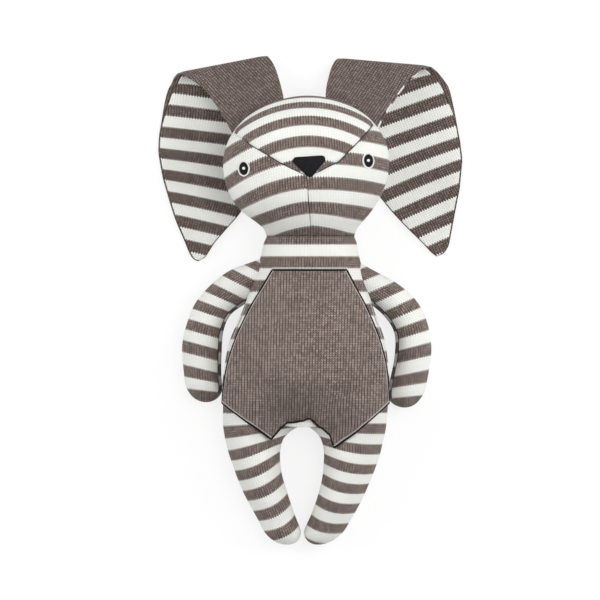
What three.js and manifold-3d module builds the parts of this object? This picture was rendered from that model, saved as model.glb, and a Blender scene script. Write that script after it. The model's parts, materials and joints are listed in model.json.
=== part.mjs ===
// A knitted rabbit soft toy that lies on its back, in millimetres.
// +Z is where its face looks, +Y is towards its ears and +X is its own left side.
// It is drawn from the middle of the neck seam, and centred on its own box at the end.
import * as THREE from "three";
import { mergeVertices } from "three/addons/utils/BufferGeometryUtils.js";
import Module from "manifold-3d";

const wasm = await Module();
wasm.setup();

// Cloth, seams and the flat that each stuffed piece lies on
const knitWall = 2;
const seamGap = 0.3;
const fillGap = 0.3;
const flatCut = 0.5;

// Torso: widths and depths, and how far each lies below the neck seam
const neckWidth = 72;
const neckDepth = 56;
const neckLift = 4;
const shoulderWidth = 79;
const shoulderDepth = 63;
const shoulderLift = 1;
const shoulderDrop = 22;
const chestWidth = 104;
const chestDepth = 70;
const chestDrop = 57;
const bellyWidth = 127;
const bellyDepth = 76;
const bellyDrop = 91;
const hipWidth = 134;
const hipDepth = 75;
const hipDrop = 122;
const crotchLength = 31;
const bodyLean = 0.03;

// Belly panel: its seam, from the neck seam and in from the sides of the torso
const panelTopDrop = 28;
const panelTopWidth = 58;
const panelChestInset = 5.5;
const panelBellyInset = 5;
const panelHipInset = 1.2;
const panelTipDrop = 166;
const panelTipSpread = 25.5;
const panelArchHeight = 5.5;
const panelArchWidth = 22;

// Legs: the thigh belongs to the torso cover, and the leg starts at the hip seam, below the panel's tips
const thighDrop = 108;
const thighSpread = 34;
const thighWidth = 64;
const thighDepth = 71;
const inseamDrop = 151;
const inseamSpread = 35.5;
const inseamWidth = 58;
const inseamDepth = 60;
const hipSeamBelowTip = 4;
const legSpread = 40;
const legTopWidth = 45;
const legTopDepth = 50;
const kneeLength = 41;
const kneeSpread = 29;
const kneeWidth = 37.5;
const kneeDepth = 40;
const shinLength = 22;
const ankleSpread = 18.5;
const ankleWidth = 30;
const ankleDepth = 31;
const footLength = 14.2;
const toeSpread = 13;

// Arms: curved, sewn on along the side of the chest
const armSeamTopDrop = 21.5;
const armSeamLength = 37;
const armReach = 38.5;
const armHang = 96;
const armWidth = 32;
const armThickness = 33;
const armRootSink = 14;
const armRootLift = 15;
// The path from the seam to the hand, in shares of the reach and the hang
const armPath = [[0.36, 0.04], [0.72, 0.13], [0.97, 0.36], [1, 0.55], [0.93, 0.72], [0.74, 1]];

// Head: a wide ball that draws in to the neck, tipped a little to one side
const headWidth = 133.6;
const headDepth = 95;
const headMiddleRise = 56.8;
const crownHeight = 55.6;
const jawHeight = 58;
const headTilt = 3.6;
const neckBlend = 6;
// Forehead gusset: a seam that dips to the nose and rises to both ears
const gussetDip = 8;
const gussetRise = 32;
const gussetSpread = 59;
const gussetCurve = 1.35;

// Face
const eyeSpread = 49.8;
const eyeRise = 0;
const eyeRingWidth = 10;
const eyeRingHeight = 12;
const pupilWidth = 7;
const pupilHeight = 9.4;
const highlightSize = 2.8;
const highlightShift = 0.8;
const noseWidth = 26;
const noseHeight = 17;
const noseTopRise = 6.4;
const noseShift = 2.6;
const noseRound = 3;
const stitchHeight = 1.1;
const noseThickness = 2.4;

// Ears: a flat leaf of two layers, rolled over backwards near its root.
// Drops along the leaf are measured from the middle of the roll, and lengths from its end.
const earLayer = 1.8;
const earRootLength = 57;
const earRootWidth = 50;
const earRootSink = 18;
const earFoldWidth = 79;
const earWidestDrop = 34;
const earWidth = 90;
const earShoulderDrop = 68;
const earShoulderWidth = 87;
const earLowerLength = 54;
const earLowerWidth = 61;
const earTipLength = 23;
const earTipWidth = 29;
const earPointWidth = 1.6;
const earRollRadius = 4;
const earRootSlope = 32;
// Where the roll of each ear lies from the neck seam, how it turns and skews outwards,
// and how much of the leaf lies past the roll
const leftEar = {
  side: 1, foldOut: 55, foldRise: 139.5, foldTurn: 10, rootSkew: 20, skew: 27.5, drop: 165,
};
const rightEar = {
  side: -1, foldOut: 70.5, foldRise: 135, foldTurn: 18.5, rootSkew: 14, skew: 26.5, drop: 154,
};

// How finely each form is drawn: points round a ring, rings along it and rings in its rounded end
const torsoMesh = { roundCount: 18, alongCount: 7, endCount: 4 };
const legMesh = { roundCount: 12, alongCount: 7, endCount: 3 };
const armMesh = { roundCount: 10, alongCount: 8, endCount: 3 };
const headMesh = { roundCount: 20, jawCount: 7, crownCount: 6, gussetCount: 12 };
const jawCrowdPower = 1.4;
const earMesh = { rootCount: 4, rollCount: 6, dropCount: 9, acrossCount: 5, passCount: 24 };
const ovalCount = 12;
const cornerCount = 3;
// A rounded end stops this share short of its point
const endShortShare = 0.004;
const crownShortShare = 0.00001;

// Colours of the yarns
const taupe = 0x6b5d57;
const offWhite = 0xe9e8e2;
const black = 0x1e1e20;
const striped = 0xa9a29c;

const degrees = Math.PI / 180;
const farAway = 400;

// Solids from closed meshes, and back again
function solidFrom(geometry) {
  geometry.deleteAttribute("normal");
  geometry.deleteAttribute("uv");
  const merged = mergeVertices(geometry, 1e-4);
  const vertProperties = new Float32Array(merged.attributes.position.array);
  const triVerts = new Uint32Array(merged.index.array);
  return new wasm.Manifold(new wasm.Mesh({ numProp: 3, vertProperties, triVerts }));
}

function solidFromFaces(points, faces) {
  const geometry = new THREE.BufferGeometry();
  geometry.setAttribute("position", new THREE.Float32BufferAttribute(points.flat(), 3));
  geometry.setIndex(faces.flat());
  return solidFrom(geometry);
}

function cloth(name, solid, color) {
  const { vertProperties, triVerts } = solid.getMesh();
  const geometry = new THREE.BufferGeometry();
  geometry.setAttribute("position", new THREE.Float32BufferAttribute(vertProperties, 3));
  geometry.setIndex(new THREE.Uint32BufferAttribute(triVerts, 1));
  geometry.computeVertexNormals();
  const material = new THREE.MeshStandardMaterial({ color, roughness: 0.95, metalness: 0 });
  const mesh = new THREE.Mesh(geometry, material);
  mesh.name = name;
  return mesh;
}

// Everything between two places along Y and two heights
function slab(y0, y1, z0, z1) {
  const geometry = new THREE.BoxGeometry(2 * farAway, y1 - y0, z1 - z0);
  geometry.translate(0, (y0 + y1) / 2, (z0 + z1) / 2);
  return solidFrom(geometry);
}

// A flat outline, seen from +Z, carried from one height to another
function prism(outline, z0, z1) {
  const shape = new THREE.Shape(outline.map(([x, y]) => new THREE.Vector2(x, y)));
  const geometry = new THREE.ExtrudeGeometry(shape, { depth: z1 - z0, bevelEnabled: false });
  geometry.translate(0, 0, z0);
  return solidFrom(geometry);
}

// A smooth curve through rows of [place, value] that never swings past them
function smoothThrough(rows, place) {
  let i = 0;
  while (i < rows.length - 2 && place > rows[i + 1][0]) i += 1;
  const slope = (k) => (rows[k + 1][1] - rows[k][1]) / (rows[k + 1][0] - rows[k][0]);
  const tangent = (k) => {
    if (k === 0) return slope(0);
    if (k === rows.length - 1) return slope(k - 1);
    const before = slope(k - 1);
    const after = slope(k);
    return before * after <= 0 ? 0 : (2 * before * after) / (before + after);
  };
  const span = rows[i + 1][0] - rows[i][0];
  const t = THREE.MathUtils.clamp((place - rows[i][0]) / span, 0, 1);
  const start = (1 + 2 * t) * (1 - t) ** 2 * rows[i][1] + t * (1 - t) ** 2 * span * tangent(i);
  return start + t ** 2 * (3 - 2 * t) * rows[i + 1][1] + t ** 2 * (t - 1) * span * tangent(i + 1);
}

// An oval ring round a centre, square to a heading in the XY plane
function ovalRing([x, y], [headX, headY], halfWidth, low, high, count) {
  const ring = [];
  for (let j = 0; j < count; j += 1) {
    const angle = ((j + 0.5) / count) * 2 * Math.PI;
    const across = halfWidth * Math.cos(angle);
    const up = ((high - low) / 2) * Math.sin(angle);
    ring.push([x - headY * across, y + headX * across, (low + high) / 2 + up]);
  }
  return ring;
}

// Rings joined into one closed body, each end closed by a point at its middle
function loft(rings) {
  const count = rings[0].length;
  const points = rings.flat();
  const faces = [];
  for (let i = 0; i < rings.length - 1; i += 1) {
    for (let j = 0; j < count; j += 1) {
      const a = i * count + j;
      const b = i * count + ((j + 1) % count);
      faces.push([a, b, b + count], [a, b + count, a + count]);
    }
  }
  const middle = (ring) => [0, 1, 2].map((k) => ring.reduce((sum, point) => sum + point[k], 0) / count);
  const last = (rings.length - 1) * count;
  points.push(middle(rings[0]), middle(rings[rings.length - 1]));
  for (let j = 0; j < count; j += 1) {
    const next = (j + 1) % count;
    faces.push([points.length - 2, next, j], [points.length - 1, last + j, last + next]);
  }
  return solidFromFaces(points, faces);
}

// Places from start to end, crowded where the end is rounded over the length of its cap
function placesTo(start, end, cap, mesh) {
  const places = [];
  for (let i = 0; i <= mesh.alongCount; i += 1) {
    places.push(start + ((end - cap - start) * i) / mesh.alongCount);
  }
  for (let i = 1; i < mesh.endCount; i += 1) {
    places.push(end - cap + cap * Math.sin((i / mesh.endCount) * 90 * degrees));
  }
  places.push(end - cap * endShortShare);
  return places;
}

// How far an oval has closed at a place in the rounded end
function closing(place, end, cap) {
  const past = Math.max(0, (place - (end - cap)) / cap);
  return Math.sqrt(Math.max(0, 1 - past ** 2));
}

const hipSeamDrop = panelTipDrop + hipSeamBelowTip;
const floorBlock = slab(-farAway, farAway, -farAway, 0);
const torsoSide = slab(-farAway, -seamGap / 2, -farAway, farAway);
const headSide = slab(seamGap / 2, farAway, -farAway, farAway);
const hipSide = slab(-hipSeamDrop + seamGap / 2, farAway, -farAway, farAway);
const legSide = slab(-farAway, -hipSeamDrop - seamGap / 2, -farAway, farAway);

// Torso: ovals down a line that leans a little, with a rounded lower end between the thighs
const crotchDrop = hipDrop + crotchLength;
const torsoWidths = [[0, neckWidth], [shoulderDrop, shoulderWidth], [chestDrop, chestWidth],
  [bellyDrop, bellyWidth], [hipDrop, hipWidth], [crotchDrop, hipWidth]];
const torsoDepths = [[0, neckDepth], [shoulderDrop, shoulderDepth], [chestDrop, chestDepth],
  [bellyDrop, bellyDepth], [hipDrop, hipDepth], [crotchDrop, hipDepth]];
const torsoLifts = [[0, neckLift], [shoulderDrop, shoulderLift], [chestDrop, -flatCut],
  [crotchDrop, -flatCut]];
const torsoHalf = (drop) => smoothThrough(torsoWidths, drop) / 2;
const torsoMiddle = (drop) => -bodyLean * drop;

function torsoBall(grow) {
  const cap = crotchDrop - hipDrop + grow;
  const end = crotchDrop + grow;
  return loft(placesTo(-seamGap, end, cap, torsoMesh).map((drop) => {
    const close = closing(drop, end, cap);
    const reach = (smoothThrough(torsoDepths, drop) / 2 + grow) * close;
    const height = smoothThrough(torsoLifts, drop) + smoothThrough(torsoDepths, drop) / 2;
    const half = (torsoHalf(drop) + grow) * close;
    const middle = [torsoMiddle(drop), -drop];
    return ovalRing(middle, [0, -1], half, height - reach, height + reach, torsoMesh.roundCount);
  }));
}

// Thigh and leg in one length, which the hip seam divides
const kneeDrop = hipSeamDrop + kneeLength;
const ankleDrop = kneeDrop + shinLength;
const toeDrop = ankleDrop + footLength;
const legSpreads = [[thighDrop, thighSpread], [inseamDrop, inseamSpread], [hipSeamDrop, legSpread],
  [kneeDrop, kneeSpread], [ankleDrop, ankleSpread], [toeDrop, toeSpread]];
const legWidths = [[thighDrop, thighWidth], [inseamDrop, inseamWidth], [hipSeamDrop, legTopWidth],
  [kneeDrop, kneeWidth], [ankleDrop, ankleWidth], [toeDrop, ankleWidth]];
const legDepths = [[thighDrop, thighDepth], [inseamDrop, inseamDepth], [hipSeamDrop, legTopDepth],
  [kneeDrop, kneeDepth], [ankleDrop, ankleDepth], [toeDrop, ankleDepth]];

function legForm(side, grow) {
  const cap = toeDrop - ankleDrop + grow;
  const end = toeDrop + grow;
  return loft(placesTo(thighDrop - grow, end, cap, legMesh).map((drop) => {
    const close = closing(drop, end, cap);
    const middle = torsoMiddle(drop) + side * smoothThrough(legSpreads, drop);
    const half = (smoothThrough(legWidths, drop) / 2 + grow) * close;
    const depth = smoothThrough(legDepths, drop);
    const reach = (depth / 2 + grow) * close;
    const height = depth / 2 - flatCut;
    return ovalRing([middle, -drop], [0, -1], half, height - reach, height + reach, legMesh.roundCount);
  }));
}

function torsoForm(grow) {
  return torsoBall(grow).add(legForm(1, grow)).add(legForm(-1, grow)).intersect(hipSide);
}

// The belly panel's seam: up the left side, down the right side and back along the arch
function bellyOutline(inset) {
  const side = [
    [crotchDrop - panelArchHeight - inset, panelArchWidth / 2 + inset],
    [panelTipDrop - inset, panelTipSpread],
    [hipDrop, torsoHalf(hipDrop) - panelHipInset - inset],
    [bellyDrop, torsoHalf(bellyDrop) - panelBellyInset - inset],
    [chestDrop, torsoHalf(chestDrop) - panelChestInset - inset],
    [panelTopDrop + inset, panelTopWidth / 2 - inset],
  ];
  const place = (sign) => ([drop, across]) => [torsoMiddle(drop) + sign * across, -drop];
  return [...side.map(place(1)), ...side.map(place(-1)).reverse()];
}

function torsoPieces() {
  const shell = torsoForm(0).subtract(torsoForm(-knitWall)).intersect(torsoSide).subtract(floorBlock);
  const seamHeight = hipDepth / 2;
  const opening = prism(bellyOutline(0), seamHeight, farAway);
  const panel = prism(bellyOutline(seamGap), seamHeight + seamGap, farAway);
  return [
    cloth("torso_cover", shell.subtract(opening), striped),
    cloth("belly_panel", shell.intersect(panel), taupe),
    cloth("torso_filling", torsoForm(-knitWall - fillGap).intersect(torsoSide), offWhite),
  ];
}

function legPieces(name, side) {
  const shell = legForm(side, 0).subtract(legForm(side, -knitWall));
  return [
    cloth(`${name}_leg_cover`, shell.intersect(legSide).subtract(floorBlock), striped),
    cloth(`${name}_leg_filling`, legForm(side, -knitWall - fillGap).intersect(legSide), offWhite),
  ];
}

// Arms: ovals along a path that leaves the seam sideways and turns down to the hand
const armSeamMiddle = armSeamTopDrop + armSeamLength / 2;

function armForm(side, grow) {
  const rootOut = torsoHalf(armSeamMiddle);
  const place = (out, hang) => {
    const drop = armSeamMiddle + hang;
    return new THREE.Vector3(torsoMiddle(drop) + side * (rootOut + out), -drop, 0);
  };
  const path = new THREE.CatmullRomCurve3([
    place(-armRootSink, 0),
    ...armPath.map(([outShare, hangShare]) => place(armReach * outShare, armHang * hangShare)),
  ]);
  const length = path.getLength();
  const widths = [[0, armSeamLength], [armReach, armWidth + knitWall], [2 * armReach, armWidth],
    [length, armWidth]];
  const lifts = [[0, armRootLift], [armReach, -flatCut], [length, -flatCut]];
  const cap = armWidth / 2 + grow;
  const end = length + grow;
  const start = Math.max(0, knitWall + grow);
  return loft(placesTo(start, end, cap, armMesh).map((along) => {
    const share = along / length;
    const point = path.getPointAt(share);
    const heading = path.getTangentAt(share);
    const close = closing(along, end, cap);
    const half = (smoothThrough(widths, along) / 2 + grow) * close;
    const low = smoothThrough(lifts, along);
    const height = (low + armThickness - flatCut) / 2;
    const reach = (armThickness - flatCut - height + grow) * close;
    const middle = [point.x, point.y];
    const ahead = [heading.x, heading.y];
    return ovalRing(middle, ahead, half, height - reach, height + reach, armMesh.roundCount);
  }));
}

function armPieces(name, side) {
  const torso = torsoForm(seamGap);
  const shell = armForm(side, 0).subtract(armForm(side, -knitWall));
  return [
    cloth(`${name}_arm_cover`, shell.subtract(torso).subtract(floorBlock), striped),
    cloth(`${name}_arm_filling`, armForm(side, -knitWall - fillGap).subtract(torso), offWhite),
  ];
}

// Head, drawn upright from the neck seam and then tipped about the middle of that seam
const headHeight = headDepth / 2 - flatCut;
const tipX = -Math.sin(headTilt * degrees);
const tipY = Math.cos(headTilt * degrees);
const headPlace = (across, rise) => [across * tipY + rise * tipX, rise * tipY - across * tipX];
const softMax = (a, b) => (a ** neckBlend + b ** neckBlend) ** (1 / neckBlend);

function headRing(rise, grow) {
  const above = rise - headMiddleRise;
  const share = above / (above > 0 ? crownHeight + grow : jawHeight + grow);
  const ball = Math.sqrt(Math.max(0, 1 - share ** 2));
  const neck = 1 - THREE.MathUtils.smoothstep(rise, 0, headMiddleRise);
  const half = softMax((headWidth / 2 + grow) * ball, (neckWidth / 2 + grow) * neck);
  const front = softMax((headDepth / 2 + grow) * ball, (neckLift + neckDepth + grow - headHeight) * neck);
  const back = softMax((headDepth / 2 + grow) * ball, (headHeight - neckLift + grow) * neck);
  const middle = headPlace(0, rise);
  return ovalRing(middle, [tipX, tipY], half, headHeight - back, headHeight + front, headMesh.roundCount);
}

function headForm(grow) {
  const crown = crownHeight + grow;
  const rises = [-neckLift];
  for (let k = 0; k < headMesh.jawCount; k += 1) {
    rises.push(headMiddleRise * (k / headMesh.jawCount) ** jawCrowdPower);
  }
  for (let k = 0; k < headMesh.crownCount; k += 1) {
    rises.push(headMiddleRise + crown * Math.sin((k / headMesh.crownCount) * 90 * degrees));
  }
  rises.push(headMiddleRise + crown * (1 - crownShortShare));
  return loft(rises.map((rise) => headRing(rise, grow)));
}

// The area above or below the gusset seam, on one side of the face or on both
function gussetOutline(from, to, edgeRise, gap) {
  const seam = [];
  for (let i = 0; i <= headMesh.gussetCount; i += 1) {
    const across = from + ((to - from) * i) / headMesh.gussetCount;
    const climb = (Math.abs(across) / gussetSpread) ** gussetCurve;
    const rise = -gussetDip + (gussetRise + gussetDip) * climb;
    seam.push(headPlace(across, headMiddleRise + rise + gap));
  }
  return [...seam, headPlace(to, edgeRise), headPlace(from, edgeRise)];
}

function headPieces() {
  const shell = headForm(0).subtract(headForm(-knitWall)).intersect(headSide).subtract(floorBlock);
  const front = headHeight + seamGap / 2;
  const far = headWidth;
  const part = (outline) => shell.intersect(prism(outline, front, farAway));
  return [
    cloth("head_back_panel", shell.intersect(slab(-farAway, farAway, -farAway, front - seamGap)), striped),
    cloth("head_forehead_panel", part(gussetOutline(-far, far, 2 * far, seamGap / 2)), striped),
    cloth("head_left_cheek_panel", part(gussetOutline(seamGap / 2, far, -far, -seamGap / 2)), striped),
    cloth("head_right_cheek_panel", part(gussetOutline(-far, -seamGap / 2, -far, -seamGap / 2)), striped),
    cloth("head_filling", headForm(-knitWall - fillGap).intersect(headSide), offWhite),
  ];
}

// A stitched patch on the front of the head: an outline between two heights above the cloth
function patch(outline, low, high) {
  return headForm(high).subtract(headForm(low)).intersect(prism(outline, headHeight, farAway));
}

function oval(across, rise, width, height) {
  const points = [];
  for (let i = 0; i < ovalCount; i += 1) {
    const angle = (i / ovalCount) * 360 * degrees;
    const x = across + (width / 2) * Math.cos(angle);
    points.push(headPlace(x, headMiddleRise + rise + (height / 2) * Math.sin(angle)));
  }
  return points;
}

function eyePieces(name, side) {
  const across = side * eyeSpread;
  const stitchTop = seamGap + stitchHeight;
  const ring = patch(oval(across, eyeRise, eyeRingWidth, eyeRingHeight), seamGap, stitchTop);
  const hole = oval(across, eyeRise, pupilWidth + 2 * seamGap, pupilHeight + 2 * seamGap);
  const pupil = patch(oval(across, eyeRise, pupilWidth, pupilHeight), seamGap, stitchTop);
  const dot = oval(across + highlightShift, eyeRise + highlightShift, highlightSize, highlightSize);
  const highlight = patch(dot, stitchTop + seamGap, stitchTop + seamGap + stitchHeight);
  return [
    cloth(`${name}_eye_ring`, ring.subtract(prism(hole, 0, farAway)), offWhite),
    cloth(`${name}_eye_pupil`, pupil, black),
    cloth(`${name}_eye_highlight`, highlight, offWhite),
  ];
}

// The nose is a triangle with its tip down and its three corners rounded
function nosePiece() {
  const half = noseWidth / 2 - noseRound;
  const top = noseTopRise - noseRound;
  const tip = noseTopRise - noseHeight + noseRound;
  const sideAngle = Math.atan2(half, top - tip) / degrees;
  const corners = [[half, top, -sideAngle, 90], [-half, top, 90, 180 + sideAngle],
    [0, tip, 180 + sideAngle, 360 - sideAngle]];
  const outline = [];
  for (const [x, rise, from, to] of corners) {
    for (let k = 0; k <= cornerCount; k += 1) {
      const angle = (from + ((to - from) * k) / cornerCount) * degrees;
      const across = noseShift + x + noseRound * Math.cos(angle);
      outline.push(headPlace(across, headMiddleRise + rise + noseRound * Math.sin(angle)));
    }
  }
  return cloth("nose", patch(outline, seamGap, seamGap + noseThickness), black);
}

// Ears. A point of the flat leaf lies at a distance past the roll's middle and at a distance
// along the roll. The leaf runs down from the head, round the roll and back along the floor.
const earWidths = (drop) => [[-earRootLength, earRootWidth], [0, earFoldWidth], [earWidestDrop, earWidth],
  [earShoulderDrop, earShoulderWidth], [drop - earLowerLength, earLowerWidth],
  [drop - earTipLength, earTipWidth], [drop, earPointWidth]];
const earHalfLayers = earLayer + seamGap / 2;
const rollTurn = 180 - earRootSlope;
const halfRoll = (rollTurn / 2) * degrees * earRollRadius;

// The bend in the plane square to the roll: how far out and up a point of the leaf lies
function earBend(past, offset) {
  const slope = earRootSlope * degrees;
  const rolled = THREE.MathUtils.clamp(past + halfRoll, 0, 2 * halfRoll);
  const angle = 90 * degrees - slope - rolled / earRollRadius;
  const radius = earRollRadius + offset;
  const before = Math.min(0, past + halfRoll);
  const after = Math.max(0, past - halfRoll);
  const out = radius * Math.cos(angle) + before * Math.cos(slope) - after;
  return [out, earRollRadius + earHalfLayers + radius * Math.sin(angle) - before * Math.sin(slope)];
}

// Where a line across the leaf, at a distance past the roll, meets the leaf's edge
function earEdge(past, { rootSkew, skew: dropSkew, drop }, edge) {
  const widths = earWidths(drop);
  const eased = THREE.MathUtils.smoothstep(past, -earRootLength / 2, earRootLength / 2);
  const skew = THREE.MathUtils.lerp(rootSkew, dropSkew, eased) * degrees;
  let along = past / Math.cos(skew);
  let across = 0;
  for (let i = 0; i < earMesh.passCount; i += 1) {
    across = ((edge * smoothThrough(widths, along)) / 2 + past * Math.sin(skew)) / Math.cos(skew);
    along = past * Math.cos(skew) + across * Math.sin(skew);
  }
  return across;
}

function earLayerSolid(ear, low, high) {
  const { side, foldOut, foldRise, foldTurn, rootSkew, skew, drop } = ear;
  const normal = [side * Math.sin(foldTurn * degrees), Math.cos(foldTurn * degrees)];
  const rollBack = earRollRadius + earHalfLayers;
  const rootEnd = -earRootLength * Math.cos(rootSkew * degrees) - earRootSink;
  const tipEnd = drop * Math.cos(skew * degrees);
  const lines = [];
  const addLines = (from, to, count) => {
    for (let i = 0; i < count; i += 1) lines.push(from + ((to - from) * i) / count);
  };
  addLines(rootEnd, -halfRoll, earMesh.rootCount);
  addLines(-halfRoll, halfRoll, earMesh.rollCount);
  addLines(halfRoll, tipEnd, earMesh.dropCount);
  lines.push(tipEnd);
  const columns = earMesh.acrossCount;
  const points = [];
  for (const offset of [high, low]) {
    for (const past of lines) {
      const inner = earEdge(past, ear, -1);
      const outer = earEdge(past, ear, 1);
      const [out, up] = earBend(past, offset);
      for (let j = 0; j <= columns; j += 1) {
        const across = inner + ((outer - inner) * j) / columns;
        const x = side * foldOut + normal[0] * (out - rollBack) + side * normal[1] * across;
        points.push([x, foldRise + normal[1] * (out - rollBack) - side * normal[0] * across, up]);
      }
    }
  }
  const rowSize = columns + 1;
  const sheet = lines.length * rowSize;
  const faces = [];
  const quad = (a, b, c, d) => {
    const around = side > 0 ? [a, b, c, d] : [a, d, c, b];
    faces.push([around[0], around[1], around[2]], [around[0], around[2], around[3]]);
  };
  for (let i = 0; i < lines.length - 1; i += 1) {
    for (let j = 0; j < columns; j += 1) {
      const a = i * rowSize + j;
      quad(a, a + 1, a + 1 + rowSize, a + rowSize);
      quad(sheet + a, sheet + a + rowSize, sheet + a + 1 + rowSize, sheet + a + 1);
    }
    const first = i * rowSize;
    const final = first + columns;
    quad(first, first + rowSize, sheet + first + rowSize, sheet + first);
    quad(final, sheet + final, sheet + final + rowSize, final + rowSize);
  }
  const tip = (lines.length - 1) * rowSize;
  for (let j = 0; j < columns; j += 1) {
    quad(j, sheet + j, sheet + j + 1, j + 1);
    quad(tip + j, tip + j + 1, sheet + tip + j + 1, sheet + tip + j);
  }
  return solidFromFaces(points, faces).subtract(headForm(seamGap));
}

function earPieces(name, ear) {
  return [
    cloth(`${name}_ear_outer`, earLayerSolid(ear, seamGap / 2, earHalfLayers), taupe),
    cloth(`${name}_ear_lining`, earLayerSolid(ear, -earHalfLayers, -seamGap / 2), striped),
  ];
}

const rabbit = new THREE.Group();
rabbit.add(...torsoPieces(), ...headPieces(), nosePiece());
for (const [name, side, ear] of [["left", 1, leftEar], ["right", -1, rightEar]]) {
  rabbit.add(...eyePieces(name, side), ...earPieces(name, ear));
  rabbit.add(...armPieces(name, side), ...legPieces(name, side));
}

// The origin is the middle of the whole toy's box, on the surface that it lies on
const bounds = new THREE.Box3().setFromObject(rabbit);
const middle = bounds.getCenter(new THREE.Vector3());
rabbit.position.set(-middle.x, -middle.y, -bounds.min.z);
rabbit.updateMatrixWorld(true);

export default rabbit;
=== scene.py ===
import json
import math
from functools import partial

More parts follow.
